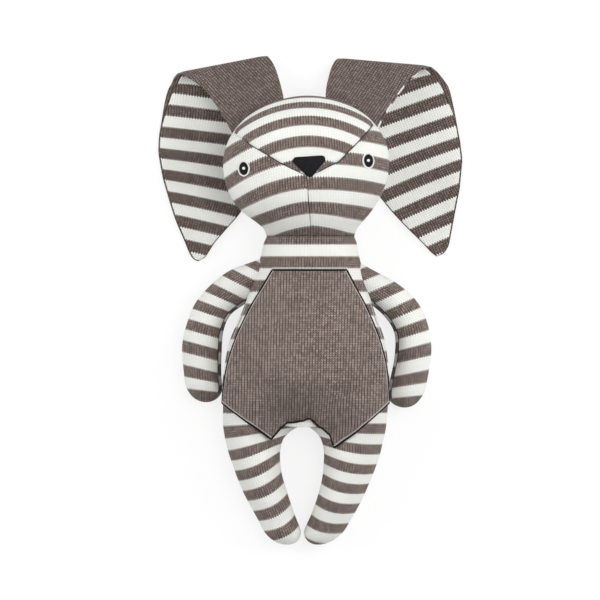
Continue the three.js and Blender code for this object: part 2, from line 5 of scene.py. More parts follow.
import bpy
import numpy as np
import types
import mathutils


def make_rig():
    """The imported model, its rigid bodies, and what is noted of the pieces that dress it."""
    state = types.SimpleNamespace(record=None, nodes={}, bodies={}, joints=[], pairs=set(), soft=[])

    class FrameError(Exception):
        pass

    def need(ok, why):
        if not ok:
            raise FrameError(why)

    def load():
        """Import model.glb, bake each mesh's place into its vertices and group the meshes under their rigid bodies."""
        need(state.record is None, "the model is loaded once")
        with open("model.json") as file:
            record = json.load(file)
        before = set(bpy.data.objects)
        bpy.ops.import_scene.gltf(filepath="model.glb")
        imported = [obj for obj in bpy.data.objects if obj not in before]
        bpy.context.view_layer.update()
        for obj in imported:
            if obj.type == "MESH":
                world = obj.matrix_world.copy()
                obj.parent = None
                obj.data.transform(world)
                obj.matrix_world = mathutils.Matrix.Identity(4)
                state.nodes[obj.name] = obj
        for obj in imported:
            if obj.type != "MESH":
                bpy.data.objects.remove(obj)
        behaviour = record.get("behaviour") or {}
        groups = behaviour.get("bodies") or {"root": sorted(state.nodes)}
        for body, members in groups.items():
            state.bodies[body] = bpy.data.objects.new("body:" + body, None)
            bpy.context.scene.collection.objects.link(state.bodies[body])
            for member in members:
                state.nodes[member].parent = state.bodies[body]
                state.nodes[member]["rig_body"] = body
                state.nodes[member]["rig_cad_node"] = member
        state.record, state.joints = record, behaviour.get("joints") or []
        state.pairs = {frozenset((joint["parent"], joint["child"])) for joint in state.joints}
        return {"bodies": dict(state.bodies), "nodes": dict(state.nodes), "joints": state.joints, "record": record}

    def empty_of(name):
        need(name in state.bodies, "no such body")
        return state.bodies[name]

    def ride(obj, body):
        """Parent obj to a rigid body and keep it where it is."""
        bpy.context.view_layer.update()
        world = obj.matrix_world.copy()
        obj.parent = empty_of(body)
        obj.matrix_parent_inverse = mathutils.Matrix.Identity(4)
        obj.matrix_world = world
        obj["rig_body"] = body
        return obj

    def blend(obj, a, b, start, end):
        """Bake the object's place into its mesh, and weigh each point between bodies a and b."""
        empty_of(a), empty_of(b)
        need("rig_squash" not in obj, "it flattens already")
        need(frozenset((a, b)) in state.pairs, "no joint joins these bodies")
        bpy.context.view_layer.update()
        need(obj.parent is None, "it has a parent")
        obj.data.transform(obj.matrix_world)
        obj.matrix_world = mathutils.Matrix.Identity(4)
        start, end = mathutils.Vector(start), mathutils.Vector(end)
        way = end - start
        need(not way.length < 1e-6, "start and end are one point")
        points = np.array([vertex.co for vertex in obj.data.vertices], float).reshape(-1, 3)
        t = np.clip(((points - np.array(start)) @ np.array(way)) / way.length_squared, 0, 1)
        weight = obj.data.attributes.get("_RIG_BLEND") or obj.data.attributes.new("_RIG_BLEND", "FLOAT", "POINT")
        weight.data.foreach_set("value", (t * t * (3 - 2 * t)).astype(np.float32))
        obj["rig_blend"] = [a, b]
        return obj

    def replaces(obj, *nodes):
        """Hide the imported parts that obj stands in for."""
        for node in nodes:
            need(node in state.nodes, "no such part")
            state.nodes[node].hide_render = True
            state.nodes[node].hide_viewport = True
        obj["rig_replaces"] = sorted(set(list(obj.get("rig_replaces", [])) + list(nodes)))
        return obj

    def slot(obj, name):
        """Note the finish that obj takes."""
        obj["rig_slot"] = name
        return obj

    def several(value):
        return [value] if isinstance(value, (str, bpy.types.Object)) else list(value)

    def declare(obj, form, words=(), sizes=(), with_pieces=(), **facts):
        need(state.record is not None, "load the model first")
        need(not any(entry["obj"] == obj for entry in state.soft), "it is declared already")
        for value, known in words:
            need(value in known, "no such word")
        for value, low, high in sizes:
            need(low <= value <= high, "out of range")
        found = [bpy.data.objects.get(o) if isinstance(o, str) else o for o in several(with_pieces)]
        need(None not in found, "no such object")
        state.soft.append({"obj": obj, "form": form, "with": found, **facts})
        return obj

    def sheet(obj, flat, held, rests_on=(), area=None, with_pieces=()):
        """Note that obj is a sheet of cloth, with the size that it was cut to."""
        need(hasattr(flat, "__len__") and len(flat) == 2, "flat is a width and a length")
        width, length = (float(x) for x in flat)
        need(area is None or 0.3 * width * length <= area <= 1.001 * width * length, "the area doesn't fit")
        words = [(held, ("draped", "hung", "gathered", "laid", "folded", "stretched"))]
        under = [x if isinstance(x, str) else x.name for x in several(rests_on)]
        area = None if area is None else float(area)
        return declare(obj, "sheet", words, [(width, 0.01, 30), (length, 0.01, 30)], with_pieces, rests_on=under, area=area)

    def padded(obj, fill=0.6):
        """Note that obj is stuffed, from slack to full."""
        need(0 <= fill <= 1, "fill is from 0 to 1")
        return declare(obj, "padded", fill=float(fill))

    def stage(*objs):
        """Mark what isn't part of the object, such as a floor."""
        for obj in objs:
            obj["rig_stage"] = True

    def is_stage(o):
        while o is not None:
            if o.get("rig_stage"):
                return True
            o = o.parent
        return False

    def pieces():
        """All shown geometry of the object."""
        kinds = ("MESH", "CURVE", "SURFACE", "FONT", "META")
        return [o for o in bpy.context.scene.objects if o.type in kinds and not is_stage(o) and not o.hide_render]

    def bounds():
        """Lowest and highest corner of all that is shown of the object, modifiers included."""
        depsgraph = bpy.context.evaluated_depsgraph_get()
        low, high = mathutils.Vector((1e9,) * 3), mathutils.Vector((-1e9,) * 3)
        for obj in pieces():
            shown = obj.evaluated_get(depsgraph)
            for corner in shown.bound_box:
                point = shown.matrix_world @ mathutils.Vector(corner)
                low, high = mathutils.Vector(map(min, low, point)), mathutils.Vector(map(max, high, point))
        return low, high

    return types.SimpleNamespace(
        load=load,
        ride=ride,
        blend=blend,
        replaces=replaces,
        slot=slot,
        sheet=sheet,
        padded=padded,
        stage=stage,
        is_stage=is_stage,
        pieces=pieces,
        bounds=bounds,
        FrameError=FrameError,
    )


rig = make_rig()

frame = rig.load()
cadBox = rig.bounds()
print("frame loaded:", len(frame["nodes"]), "nodes")

# Shapes are worked out in millimetres from the middle of the neck seam:
# x to the toy's own left, y to its ears, z up from the surface that it lies on.
neckSeam = np.array([1.905, 49.907, 0.0])
millimetre = 0.001
waleWidth = 2.2  # one column of stitches
pairCourses = 10  # rows of stitches in one brown and one white stripe
noiseSpan = (0.3, 0.7)  # where most values of a noise lie


# helpers for shapes

def placed(x, y, z):
    # a point of the drawing as a place in the frame, in metres
    return tuple((np.array([x, y, z]) + neckSeam) * millimetre)


def bendBetween(start, end):
    # the cloth of a blended piece bends between two places
    return {"start": placed(*start), "end": placed(*end)}


def easeBetween(value, low, high):
    # 0 below low, 1 above high, and a smooth step between them
    t = np.clip((value - low) / (high - low), 0, 1)
    return t * t * (3 - 2 * t)


def cubicSpan(t, span, start, end, startSlope, endSlope):
    # a cubic from start to end with a slope at each, where t is the share of the span
    first = (1 + 2 * t) * (1 - t) ** 2 * start + t * (1 - t) ** 2 * span * startSlope
    return first + t ** 2 * (3 - 2 * t) * end + t ** 2 * (t - 1) * span * endSlope


def smoothThrough(rows, place):
    # monotone cubic through rows of (place, value), which never swings past one of them
    places, values = np.array(rows, float).T
    slopes = np.diff(values) / np.diff(places)
    sameWay = slopes[:-1] * slopes[1:] > 0
    total = np.where(sameWay, slopes[:-1] + slopes[1:], 1)
    inner = np.where(sameWay, 2 * slopes[:-1] * slopes[1:] / total, 0)
    tangents = np.concatenate([slopes[:1], inner, slopes[-1:]])
    place = np.clip(place, places[0], places[-1])
    i = np.clip(np.searchsorted(places, place) - 1, 0, len(slopes) - 1)
    span = places[i + 1] - places[i]
    t = (place - places[i]) / span
    return cubicSpan(t, span, values[i], values[i + 1], tangents[i], tangents[i + 1])


def curveThrough(knots, count):
    # a smooth path: cubic spans whose tangents are the chords of their neighbours
    gaps = np.concatenate([[0], np.cumsum(np.sqrt(np.linalg.norm(np.diff(knots[:, :2], axis=0), axis=1)))])
    tangents = np.gradient(knots, gaps, axis=0)
    t = np.linspace(0, gaps[-1], count)
    i = np.clip(np.searchsorted(gaps, t) - 1, 0, len(gaps) - 2)
    span = (gaps[i + 1] - gaps[i])[:, None]
    share = (t - gaps[i])[:, None] / span
    return cubicSpan(share, span, knots[i], knots[i + 1], tangents[i], tangents[i + 1])


def runAlong(path):
    # distance along a path at each of its points
    return np.concatenate([[0], np.cumsum(np.linalg.norm(np.diff(path, axis=0), axis=1))])


def pathAt(path, run, places):
    # the columns of a path at given distances along it
    return np.stack([np.interp(places, run, column) for column in path.T], 1)


def evenPath(path, step):
    # the same path with its points at even distances
    run = runAlong(path)
    return pathAt(path, run, np.linspace(0, run[-1], max(8, int(run[-1] / step))))


def roundedPlaces(start, end, cap, bodyCount, capCount):
    # places from start to end, crowded by a sine where the end is rounded over its cap
    body = np.linspace(start, end - cap, bodyCount)
    turn = np.linspace(0, 0.97, capCount + 1)[1:] * math.pi / 2
    return np.concatenate([body, end - cap + cap * np.sin(turn)])


def closing(place, end, cap):
    # how far an oval has closed in a rounded end: a quarter of a circle over the cap
    past = np.clip((place - (end - cap)) / cap, 0, 1)
    return np.sqrt(1 - past ** 2)


def unit(vectors):
    return vectors / np.maximum(np.linalg.norm(vectors, axis=-1, keepdims=True), 1e-9)


def lumps(points, amount, size):
    # gentle unevenness of the filling: slow waves in x, y and z
    x, y, z = np.moveaxis(points, -1, 0) / size
    broad = np.sin(x + 1.7 * np.cos(0.8 * z)) * np.cos(1.1 * y + 0.6)
    return amount * (broad + 0.6 * np.sin(1.9 * y + 1.3 * z + 2.0)) / 1.6


def runAcross(points, frontColumn):
    # distance along each row of a grid, from the column at the front
    steps = np.linalg.norm(np.diff(points, axis=1), axis=2)
    run = np.concatenate([np.zeros((len(points), 1)), np.cumsum(steps, axis=1)], axis=1)
    return run - run[:, frontColumn:frontColumn + 1]


def ovalRings(middles, headings, halves, lows, highs, columns):
    # ovals square to a path: across the heading by half * cos, up by the half height * sin,
    # from the lowest point round the right side, the top and the left side
    angle = np.linspace(-0.5, 1.5, columns + 1)[:-1] * math.pi
    across = halves[:, None] * np.cos(angle)
    x = middles[:, :1] - headings[:, 1:] * across
    y = middles[:, 1:] + headings[:, :1] * across
    z = (lows + highs)[:, None] / 2 + (highs - lows)[:, None] / 2 * np.sin(angle)
    return np.stack([x, y, z], axis=-1)


def addObject(name, data):
    thing = bpy.data.objects.new(name, data)
    bpy.context.scene.collection.objects.link(thing)
    return thing


def meshPiece(name, points, faces, corners, material):
    mesh = bpy.data.meshes.new(name)
    mesh.from_pydata(((points + neckSeam) * millimetre).tolist(), [], faces)
    layer = mesh.uv_layers.new(name="knit")
    layer.data.foreach_set("uv", np.asarray(corners, np.float32).ravel())
    mesh.polygons.foreach_set("use_smooth", [True] * len(mesh.polygons))
    mesh.materials.append(material)
    return addObject(name, mesh)


def gridPiece(name, points, knit, material, wrap=False, poles=(), turned=False):
    # a grid of points with wales and courses at each; a wrapped grid has one knit column more
    rows, columns = points.shape[:2]
    i, j = np.meshgrid(np.arange(rows - 1), np.arange(columns - (not wrap)), indexing="ij")
    i, j = i.ravel(), j.ravel()
    k = (j + 1) % columns
    quads = np.stack([i * columns + j, i * columns + k, (i + 1) * columns + k, (i + 1) * columns + j], 1)
    corners = np.stack([knit[i, j], knit[i, j + 1], knit[i + 1, j + 1], knit[i + 1, j]], 1)
    flat = points.reshape(-1, 3)
    faces, uvs = quads.tolist(), [corners.reshape(-1, 2)]
    ring = np.arange(columns)
    after = (ring + 1) % columns
    for row, point in poles:  # each pole closes the first or the last ring
        first = (row % rows) * columns
        tip = np.full(columns, len(flat))
        flat = np.concatenate([flat, [point]])
        a, b = (after, ring) if row == 0 else (ring, after)
        faces += np.stack([first + a, first + b, tip], 1).tolist()
        ends = np.stack([knit[row, ring], knit[row, ring + 1]], 1)
        if row == 0:
            ends = ends[:, ::-1]
        uvs.append(np.concatenate([ends, ends.mean(1, keepdims=True)], 1).reshape(-1, 2))
    if turned:
        faces = [face[::-1] for face in faces]
        uvs = [corners[:, ::-1].reshape(-1, 2)]
    return meshPiece(name, flat, faces, np.concatenate(uvs), material)


def closedRows(points):
    # the first column again at the end of each row
    return np.concatenate([points, points[:, :1]], 1)


def tubePiece(name, points, course, poles, material):
    # a knitted tube with wales along it, counted round it from the top
    run = runAcross(closedRows(points), points.shape[1] // 2)
    knit = np.stack(np.broadcast_arrays(run / waleWidth, course), -1)
    return gridPiece(name, points, knit, material, wrap=True, poles=poles)


def cordPiece(name, path, ups, radii, material, closed=False, sides=8, pitch=1.0):
    # a round profile carried along a path: radius * cos to the side, radius * sin along the up line
    ahead = np.roll(path, -1, 0) - np.roll(path, 1, 0) if closed else np.gradient(path, axis=0)
    ahead = unit(ahead)
    side = unit(np.cross(ahead, ups))
    up = np.cross(side, ahead)
    angle = np.linspace(0, 2 * math.pi, sides, endpoint=False)
    radii = np.broadcast_to(radii, (len(path),))[:, None, None]
    ring = np.cos(angle)[None, :, None] * side[:, None] + np.sin(angle)[None, :, None] * up[:, None]
    points = path[:, None] + radii * ring
    if closed:
        points = np.concatenate([points, points[:1]])
    run = runAlong(points.mean(1))
    turn = np.linspace(0, 1, sides + 1)
    knit = np.stack(np.broadcast_arrays(turn[None, :], run[:, None] / pitch), -1)
    poles = () if closed else ((0, path[0]), (-1, path[-1]))
    return gridPiece(name, points, knit, material, wrap=True, poles=poles)


def thicken(piece, thickness, offset):
    wall = piece.modifiers.new("wall", "SOLIDIFY")
    wall.thickness = thickness * millimetre
    wall.offset = offset
    wall.use_even_offset = False


def stuffed(piece, slotName, fill, *nodes):
    # a padded piece that stands for its solids
    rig.replaces(piece, *nodes)
    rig.slot(piece, slotName)
    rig.padded(piece, fill=fill)


# node helpers

def connect(tree, value, socket):
    if isinstance(value, bpy.types.NodeSocket):
        tree.links.new(value, socket)
    else:
        socket.default_value = value


def doMath(tree, operation, *values):
    node = tree.nodes.new("ShaderNodeMath")
    node.operation = operation
    for value, socket in zip(values, node.inputs):
        connect(tree, value, socket)
    return node.outputs[0]


def mixColour(tree, factor, first, second, blend="MIX"):
    node = tree.nodes.new("ShaderNodeMix")
    node.data_type = "RGBA"
    node.blend_type = blend
    connect(tree, factor, node.inputs["Factor"])
    connect(tree, first, node.inputs["A"])
    connect(tree, second, node.inputs["B"])
    return node.outputs["Result"]


def mapRange(tree, value, low, high, toLow, toHigh, kind="LINEAR"):
    node = tree.nodes.new("ShaderNodeMapRange")
    node.interpolation_type = kind
    for socket, number in zip(node.inputs[1:5], (low, high, toLow, toHigh)):
        socket.default_value = number
    connect(tree, value, node.inputs[0])
    return node.outputs[0]


def noiseOf(tree, vector, scale, detail):
    node = tree.nodes.new("ShaderNodeTexNoise")
    node.inputs["Scale"].default_value = scale
    node.inputs["Detail"].default_value = detail
    tree.links.new(vector, node.inputs["Vector"])
    return node.outputs["Fac"]


def newGroup(name, inputs, outputs):
    tree = bpy.data.node_groups.new(name, "ShaderNodeTree")
    for label, kind in inputs:
        tree.interface.new_socket(label, in_out="INPUT", socket_type=kind)
    for label, kind in outputs:
        tree.interface.new_socket(label, in_out="OUTPUT", socket_type=kind)
    return tree, tree.nodes.new("NodeGroupInput"), tree.nodes.new("NodeGroupOutput")


def knitStitchGroup():
    # each wale is a column of V stitches: two legs that rise outwards from its middle
    look = {
        "rise": 1.5, "gapFrom": 0.27, "gapTo": 0.5, "creaseTo": 0.11, "crease": 0.3, "roundness": 4.2,
        "brownShare": 0.5,
    }
    tree, entry, result = newGroup(
        "knitStitch",
        [("Knit", "NodeSocketVector")],
        [("Height", "NodeSocketFloat"), ("Stripe", "NodeSocketFloat"), ("Stitch", "NodeSocketFloat")],
    )
    parts = tree.nodes.new("ShaderNodeSeparateXYZ")
    tree.links.new(entry.outputs["Knit"], parts.inputs[0])
    wale, course = parts.outputs[0], parts.outputs[1]
    calc = partial(doMath, tree)
    fromMiddle = calc("ABSOLUTE", calc("SUBTRACT", calc("FRACT", wale), 0.5))
    slant = calc("MULTIPLY", calc("SUBTRACT", fromMiddle, 0.25), look["rise"])
    slanted = calc("SUBTRACT", course, slant)
    row = calc("FLOOR", slanted)
    # legs stand up beside a shallow crease in the middle of the wale, and a deep gap parts the wales
    gap = mapRange(tree, fromMiddle, look["gapFrom"], look["gapTo"], 1, 0, "SMOOTHSTEP")
    crease = mapRange(tree, fromMiddle, 0, look["creaseTo"], look["crease"], 0, "SMOOTHSTEP")
    ridge = calc("SUBTRACT", gap, crease)
    alongLeg = calc("SUBTRACT", calc("FRACT", slanted), 0.5)
    swell = calc("MULTIPLY", calc("MULTIPLY", alongLeg, alongLeg), look["roundness"])
    tree.links.new(calc("MULTIPLY", ridge, calc("SUBTRACT", 1.0, swell)), result.inputs["Height"])
    place = calc("FRACT", calc("DIVIDE", calc("ADD", row, 0.5), pairCourses))
    tree.links.new(calc("LESS_THAN", place, look["brownShare"]), result.inputs["Stripe"])
    cell = tree.nodes.new("ShaderNodeCombineXYZ")
    tree.links.new(calc("FLOOR", wale), cell.inputs[0])
    tree.links.new(row, cell.inputs[1])
    scatter = tree.nodes.new("ShaderNodeTexWhiteNoise")
    tree.links.new(cell.outputs[0], scatter.inputs["Vector"])
    tree.links.new(scatter.outputs["Value"], result.inputs["Stitch"])
    return tree


def fibreGroup():
    # flecks of lighter and darker fibre in the yarn, and slow shifts of shade across the cloth
    look = {"fleckScale": 1100, "shadeScale": 24, "detail": 2}
    tree, entry, result = newGroup(
        "yarnFibre",
        [("Place", "NodeSocketVector")],
        [("Fleck", "NodeSocketFloat"), ("Shade", "NodeSocketFloat")],
    )
    fleck = noiseOf(tree, entry.outputs["Place"], look["fleckScale"], look["detail"])
    shade = noiseOf(tree, entry.outputs["Place"], look["shadeScale"], look["detail"])
    tree.links.new(mapRange(tree, fleck, *noiseSpan, 0, 1), result.inputs["Fleck"])
    tree.links.new(shade, result.inputs["Shade"])
    return tree


knitStitch = knitStitchGroup()
yarnFibre = fibreGroup()


def placeGroup(tree, group, vector):
    node = tree.nodes.new("ShaderNodeGroup")
    node.node_tree = group
    tree.links.new(vector, node.inputs[0])
    return node.outputs


def startMaterial(name, finish):
    # a cloth shader, with the piece's wales and courses and the yarn's fibre to feed it
    material = bpy.data.materials.new(name)
    material.use_nodes = True
    tree = material.node_tree
    shader = tree.nodes["Principled BSDF"]
    shader.inputs["Specular IOR Level"].default_value = finish["specular"]
    shader.inputs["Sheen Weight"].default_value = finish["sheen"]
    shader.inputs["Sheen Roughness"].default_value = finish["sheenRough"]
    knit = tree.nodes.new("ShaderNodeUVMap")
    knit.uv_map = "knit"
    coords = tree.nodes.new("ShaderNodeTexCoord")
    return material, tree, shader, knit.outputs["UV"], placeGroup(tree, yarnFibre, coords.outputs["Object"])


def finishShader(tree, shader, colour, height, finish):
    tree.links.new(colour, shader.inputs["Base Color"])
    rough = mapRange(tree, height, 0, 1, finish["roughHollow"], finish["roughTop"])
    tree.links.new(rough, shader.inputs["Roughness"])
    bump = tree.nodes.new("ShaderNodeBump")
    bump.inputs["Strength"].default_value = finish["strength"]
    bump.inputs["Distance"].default_value = finish["distance"]
    tree.links.new(height, bump.inputs["Height"])
    tree.links.new(bump.outputs["Normal"], shader.inputs["Normal"])


# each yarn: its pale and deep fibres, and the shade in the hollows between its stitches
yarns = {
    "plain": [(0.5, 0.4, 0.353, 1), (0.16, 0.12, 0.103, 1), (0.01, 0.0075, 0.0065, 1)],
    # the ear's outer yarn is a darker copy of "plain": painted shade, for the ears that lie low behind the head
    "ear": [(0.345, 0.268, 0.238, 1), (0.13, 0.096, 0.082, 1), (0.012, 0.009, 0.008, 1)],
    "stripe": [(0.44, 0.346, 0.302, 1), (0.145, 0.108, 0.092, 1), (0.02, 0.0147, 0.0125, 1)],
    # the ear lining's brown is a darker copy of "stripe": painted shade on the ears
    "earStripe": [(0.32, 0.248, 0.216, 1), (0.11, 0.082, 0.069, 1), (0.02, 0.0147, 0.0125, 1)],
    "white": [(0.95, 0.955, 0.915, 1), (0.86, 0.865, 0.82, 1), (0.71, 0.71, 0.675, 1)],
}
knitFinish = {
    "sheen": 0.06, "sheenRough": 0.6, "specular": 0.2, "stitchShare": 0.6, "fleckShare": 0.4,
    "raised": (0.04, 0.85), "shade": (0.94, 1.04), "fleckRelief": 0.25,
    "distance": 0.0007, "strength": 0.55, "roughTop": 0.85, "roughHollow": 1.0,
}


def knitMaterial(name, brown, stripes=False):
    # stitches of brown yarn with flecks, and where asked, stripes of off-white yarn
    own = knitFinish
    material, tree, shader, knit, fibre = startMaterial(name, own)
    stitch = placeGroup(tree, knitStitch, knit)
    calc = partial(doMath, tree)
    mottle = calc("ADD", calc("MULTIPLY", stitch["Stitch"], own["stitchShare"]),
                  calc("MULTIPLY", fibre["Fleck"], own["fleckShare"]))
    raised = mapRange(tree, stitch["Height"], *own["raised"], 0, 1)
    colours = []
    for yarn in (brown, "white") if stripes else (brown,):
        pale, deep, hollow = yarns[yarn]
        colours.append(mixColour(tree, raised, hollow, mixColour(tree, mottle, deep, pale)))
    colour = mixColour(tree, stitch["Stripe"], colours[1], colours[0]) if stripes else colours[0]
    shade = mapRange(tree, fibre["Shade"], *noiseSpan, *own["shade"])
    grey = tree.nodes.new("ShaderNodeCombineColor")
    for socket in grey.inputs[:3]:
        tree.links.new(shade, socket)
    colour = mixColour(tree, 1.0, colour, grey.outputs[0], "MULTIPLY")
    relief = calc("ADD", stitch["Height"], calc("MULTIPLY", fibre["Fleck"], own["fleckRelief"]))
    finishShader(tree, shader, colour, relief, own)
    return material


threadFinish = {
    "sheen": 0.0, "sheenRough": 0.6, "specular": 0.08,
    "distance": 0.0003, "strength": 0.6, "roughTop": 0.75, "roughHollow": 0.95,
}


def threadMaterial(name, dark, pale, turns):
    # strands that wind round a cord or lie side by side in a stitched patch
    own = threadFinish
    material, tree, shader, knit, fibre = startMaterial(name, own)
    parts = tree.nodes.new("ShaderNodeSeparateXYZ")
    tree.links.new(knit, parts.inputs[0])
    calc = partial(doMath, tree)
    winding = calc("ADD", parts.outputs[1], calc("MULTIPLY", parts.outputs[0], turns))
    wave = calc("ABSOLUTE", calc("SUBTRACT", calc("FRACT", winding), 0.5))
    height = calc("SUBTRACT", 1.0, calc("MULTIPLY", calc("MULTIPLY", wave, wave), 4.0))
    # painted shade: the colour runs from dark in the grooves between strands to pale on their tops, with flecks of the
    # fibre
    mottle = calc("MULTIPLY", calc("ADD", height, fibre["Fleck"]), 0.5)
    finishShader(tree, shader, mixColour(tree, mottle, dark, pale), height, own)
    return material


stripedKnit = knitMaterial("stripedKnit", "stripe", True)
taupeKnit = knitMaterial("taupeKnit", "plain")
# darker copies of the taupe and striped knit for the ears: painted shade
earKnit = knitMaterial("earKnit", "ear")
shadedLiningKnit = knitMaterial("shadedLiningKnit", "earStripe", True)
whiteThread = threadMaterial("whiteThread", (0.62, 0.62, 0.58, 1), (0.9, 0.9, 0.86, 1), 0.0)
blackThread = threadMaterial("blackThread", (0.004, 0.004, 0.005, 1), (0.016, 0.016, 0.018, 1), 0.0)
# a near-black cord for seams and the panel's edges, which paints the shade in their creases and grooves
creaseShadeThread = threadMaterial("creaseShadeThread", (0.003, 0.0025, 0.0025, 1), (0.022, 0.018, 0.017, 1), 1.0)
seamThread = threadMaterial("seamThread", (0.12, 0.1, 0.095, 1), (0.7, 0.67, 0.64, 1), 1.0)
print("materials made:", len(bpy.data.materials))


# torso: ovals down a line that leans a little, rounded over between the thighs
torso = {
    "widths": [(0, 72), (22, 81.5), (57, 104), (91, 127), (122, 134), (153, 134)],
    "depths": [(0, 56), (22, 63), (57, 70), (91, 76), (122, 75), (153, 75)],
    "lifts": [(0, 4), (22, 1), (57, -0.5), (153, -0.5)],
    "lean": 0.03,
    "end": 153,
    "cap": 31,
    "firstBrown": 16.3,  # where a brown stripe starts below the neck seam
    "pair": 18.9,  # one brown and one white stripe
    "seamDip": 1.1,
    "seamReach": 3.5,
    "frontEnd": 147,  # the front falls away steeply between the thighs
    "frontCap": 32,
    "frontPower": 1.25,
    "lowShift": 6.5,  # the stripes slide down by this over these drops
    "lowShiftOver": (118, 146),
    "lumps": (0.5, 16),
    "lumpsOver": (8, 30),
}


def torsoMiddle(drop):
    return -torso["lean"] * drop


def torsoOval(drop):
    # half width, lowest and highest point of the torso at a drop below the neck seam
    close = closing(drop, torso["end"], torso["cap"])
    depth = smoothThrough(torso["depths"], drop)
    height = smoothThrough(torso["lifts"], drop) + depth / 2
    front = 1 - np.clip((drop - torso["frontEnd"]) / torso["frontCap"] + 1, 0, 1) ** torso["frontPower"]
    half = smoothThrough(torso["widths"], drop) / 2 * close
    return half, height - depth / 2 * close, height + depth / 2 * front


def makeTorso():
    drop = roundedPlaces(0, torso["end"], torso["cap"], bodyCount=72, capCount=24)
    half, low, high = torsoOval(drop)
    middles = np.stack([torsoMiddle(drop), -drop], 1)
    points = ovalRings(middles, np.tile([0.0, -1.0], (len(drop), 1)), half, low, high, columns=120)
    centre = np.stack([middles[:, 0], middles[:, 1], (low + high) / 2], 1)[:, None]
    outward = unit(points - centre)
    dip = torso["seamDip"] * np.exp(-(drop / torso["seamReach"]) ** 2)
    uneven = lumps(points, *torso["lumps"]) * easeBetween(drop, *torso["lumpsOver"])[:, None]
    points += outward * (uneven - dip[:, None])[..., None]
    points[..., 2] = np.maximum(points[..., 2], 0.0)
    place = drop - torso["firstBrown"] - torso["lowShift"] * easeBetween(drop, *torso["lowShiftOver"])
    course = place[:, None] / torso["pair"] * pairCourses
    poles = ((0, centre[0, 0]), (-1, [torsoMiddle(torso["end"]), -torso["end"], (low[-1] + high[-1]) / 2]))
    return tubePiece("torsoCover", points, course, poles, stripedKnit)


# legs: thigh and leg in one length, which starts inside the torso
leg = {
    "start": 112,
    "end": 247.2,
    "cap": 14.2,
    "rest": -0.5,
    "tiltFrom": 140,  # above this drop the stripes lie level, and below it they turn square to the leg
    "tiltTo": 180,
    "innerLift": 0.6,  # the stripes climb where the leg turns away on its inner side
    "archLift": 4.0,  # and more beside the arch, which ends over these drops
    "archOver": (150, 164),
    "inward": (0.15, 0.85),  # the sag at the middle of the thigh, and its growth to the inner side
    "sagFrom": (116, 144),
    "sagTo": (158, 178),
    "sunk": 60,  # how deep the thighs lie under the chest, and the drops where they come up
    "sunkOver": (90, 120),
    "merge": 0.35,  # how sharply the belly and the thighs meet under the panel
    "mergeLevel": 60,
    "lumps": (0.35, 13),
    "lumpsShift": 40,  # so that the two sides differ
    "bendFrom": (0, -158, 0),
    "bendTo": (0, -206, 0),
    "left": {
        "side": 1,
        "spreads": [(108, 34), (149, 31.8), (151.5, 33.1), (153.6, 34.7), (156, 36.2), (159.2, 37.5),
                    (163, 38.4), (170, 38.7), (187, 36.5), (204, 32), (220, 25.6), (236, 17.9),
                    (247.2, 13.5)],
        "widths": [(108, 66), (149, 67.5), (151.5, 64.6), (153.6, 61), (156, 57.2), (159.2, 53.4),
                   (163, 50), (170, 46.1), (187, 41.4), (204, 37.4), (220, 34.6), (236, 33), (247.2, 31)],
        "depths": [(108, 52), (122, 64), (131, 66), (151, 56), (170, 49), (211, 40), (233, 32), (247.2, 31)],
        "firstBrown": 149.4, "pair": 16.0, "tilt": 0.19, "bow": 3.0,
        "sag": 0.62,  # the inner side of the thigh sinks towards the crotch
    },
    "right": {
        "side": -1,
        "spreads": [(108, 34), (149, 32.8), (151.5, 34.5), (153.6, 36), (156, 37.7), (159.2, 39.1),
                    (163.2, 40.2), (170, 40.1), (187, 36.8), (204, 30.6), (220, 23.2), (236, 15.6),
                    (247.2, 11.5)],
        "widths": [(108, 66), (149, 65.6), (151.5, 61.8), (153.6, 58.1), (156, 53.7), (159.2, 49.6),
                   (163.2, 45.7), (170, 42.3), (187, 37.6), (204, 35), (220, 32.4), (236, 30.5), (247.2, 30)],
        "depths": [(108, 52), (122, 63), (128, 63.5), (136, 59.5), (150, 51), (168, 46), (211, 40), (233, 32),
                   (247.2, 31)],
        "firstBrown": 133.5, "pair": 16.55, "tilt": 0.40, "bow": 2.8,
        "sag": 0.85,
    },
}


def legOval(own, drop):
    # middle, half width, lowest and highest point of a leg at a drop below the neck seam
    close = closing(drop, leg["end"], leg["cap"])
    middle = torsoMiddle(drop) + own["side"] * smoothThrough(own["spreads"], drop)
    depth = smoothThrough(own["depths"], drop)
    height = depth / 2 + leg["rest"]
    half = smoothThrough(own["widths"], drop) / 2 * close
    return middle, half, height - depth / 2 * close, height + depth / 2 * close


def innerSag(own, drop, across):
    # how much of its height the front keeps at a share of the half width
    middle, growth = leg["inward"]
    sag = own["sag"] * np.clip(middle - growth * own["side"] * across, 0, 1)
    return 1 - sag * easeBetween(drop, *leg["sagFrom"]) * (1 - easeBetween(drop, *leg["sagTo"]))


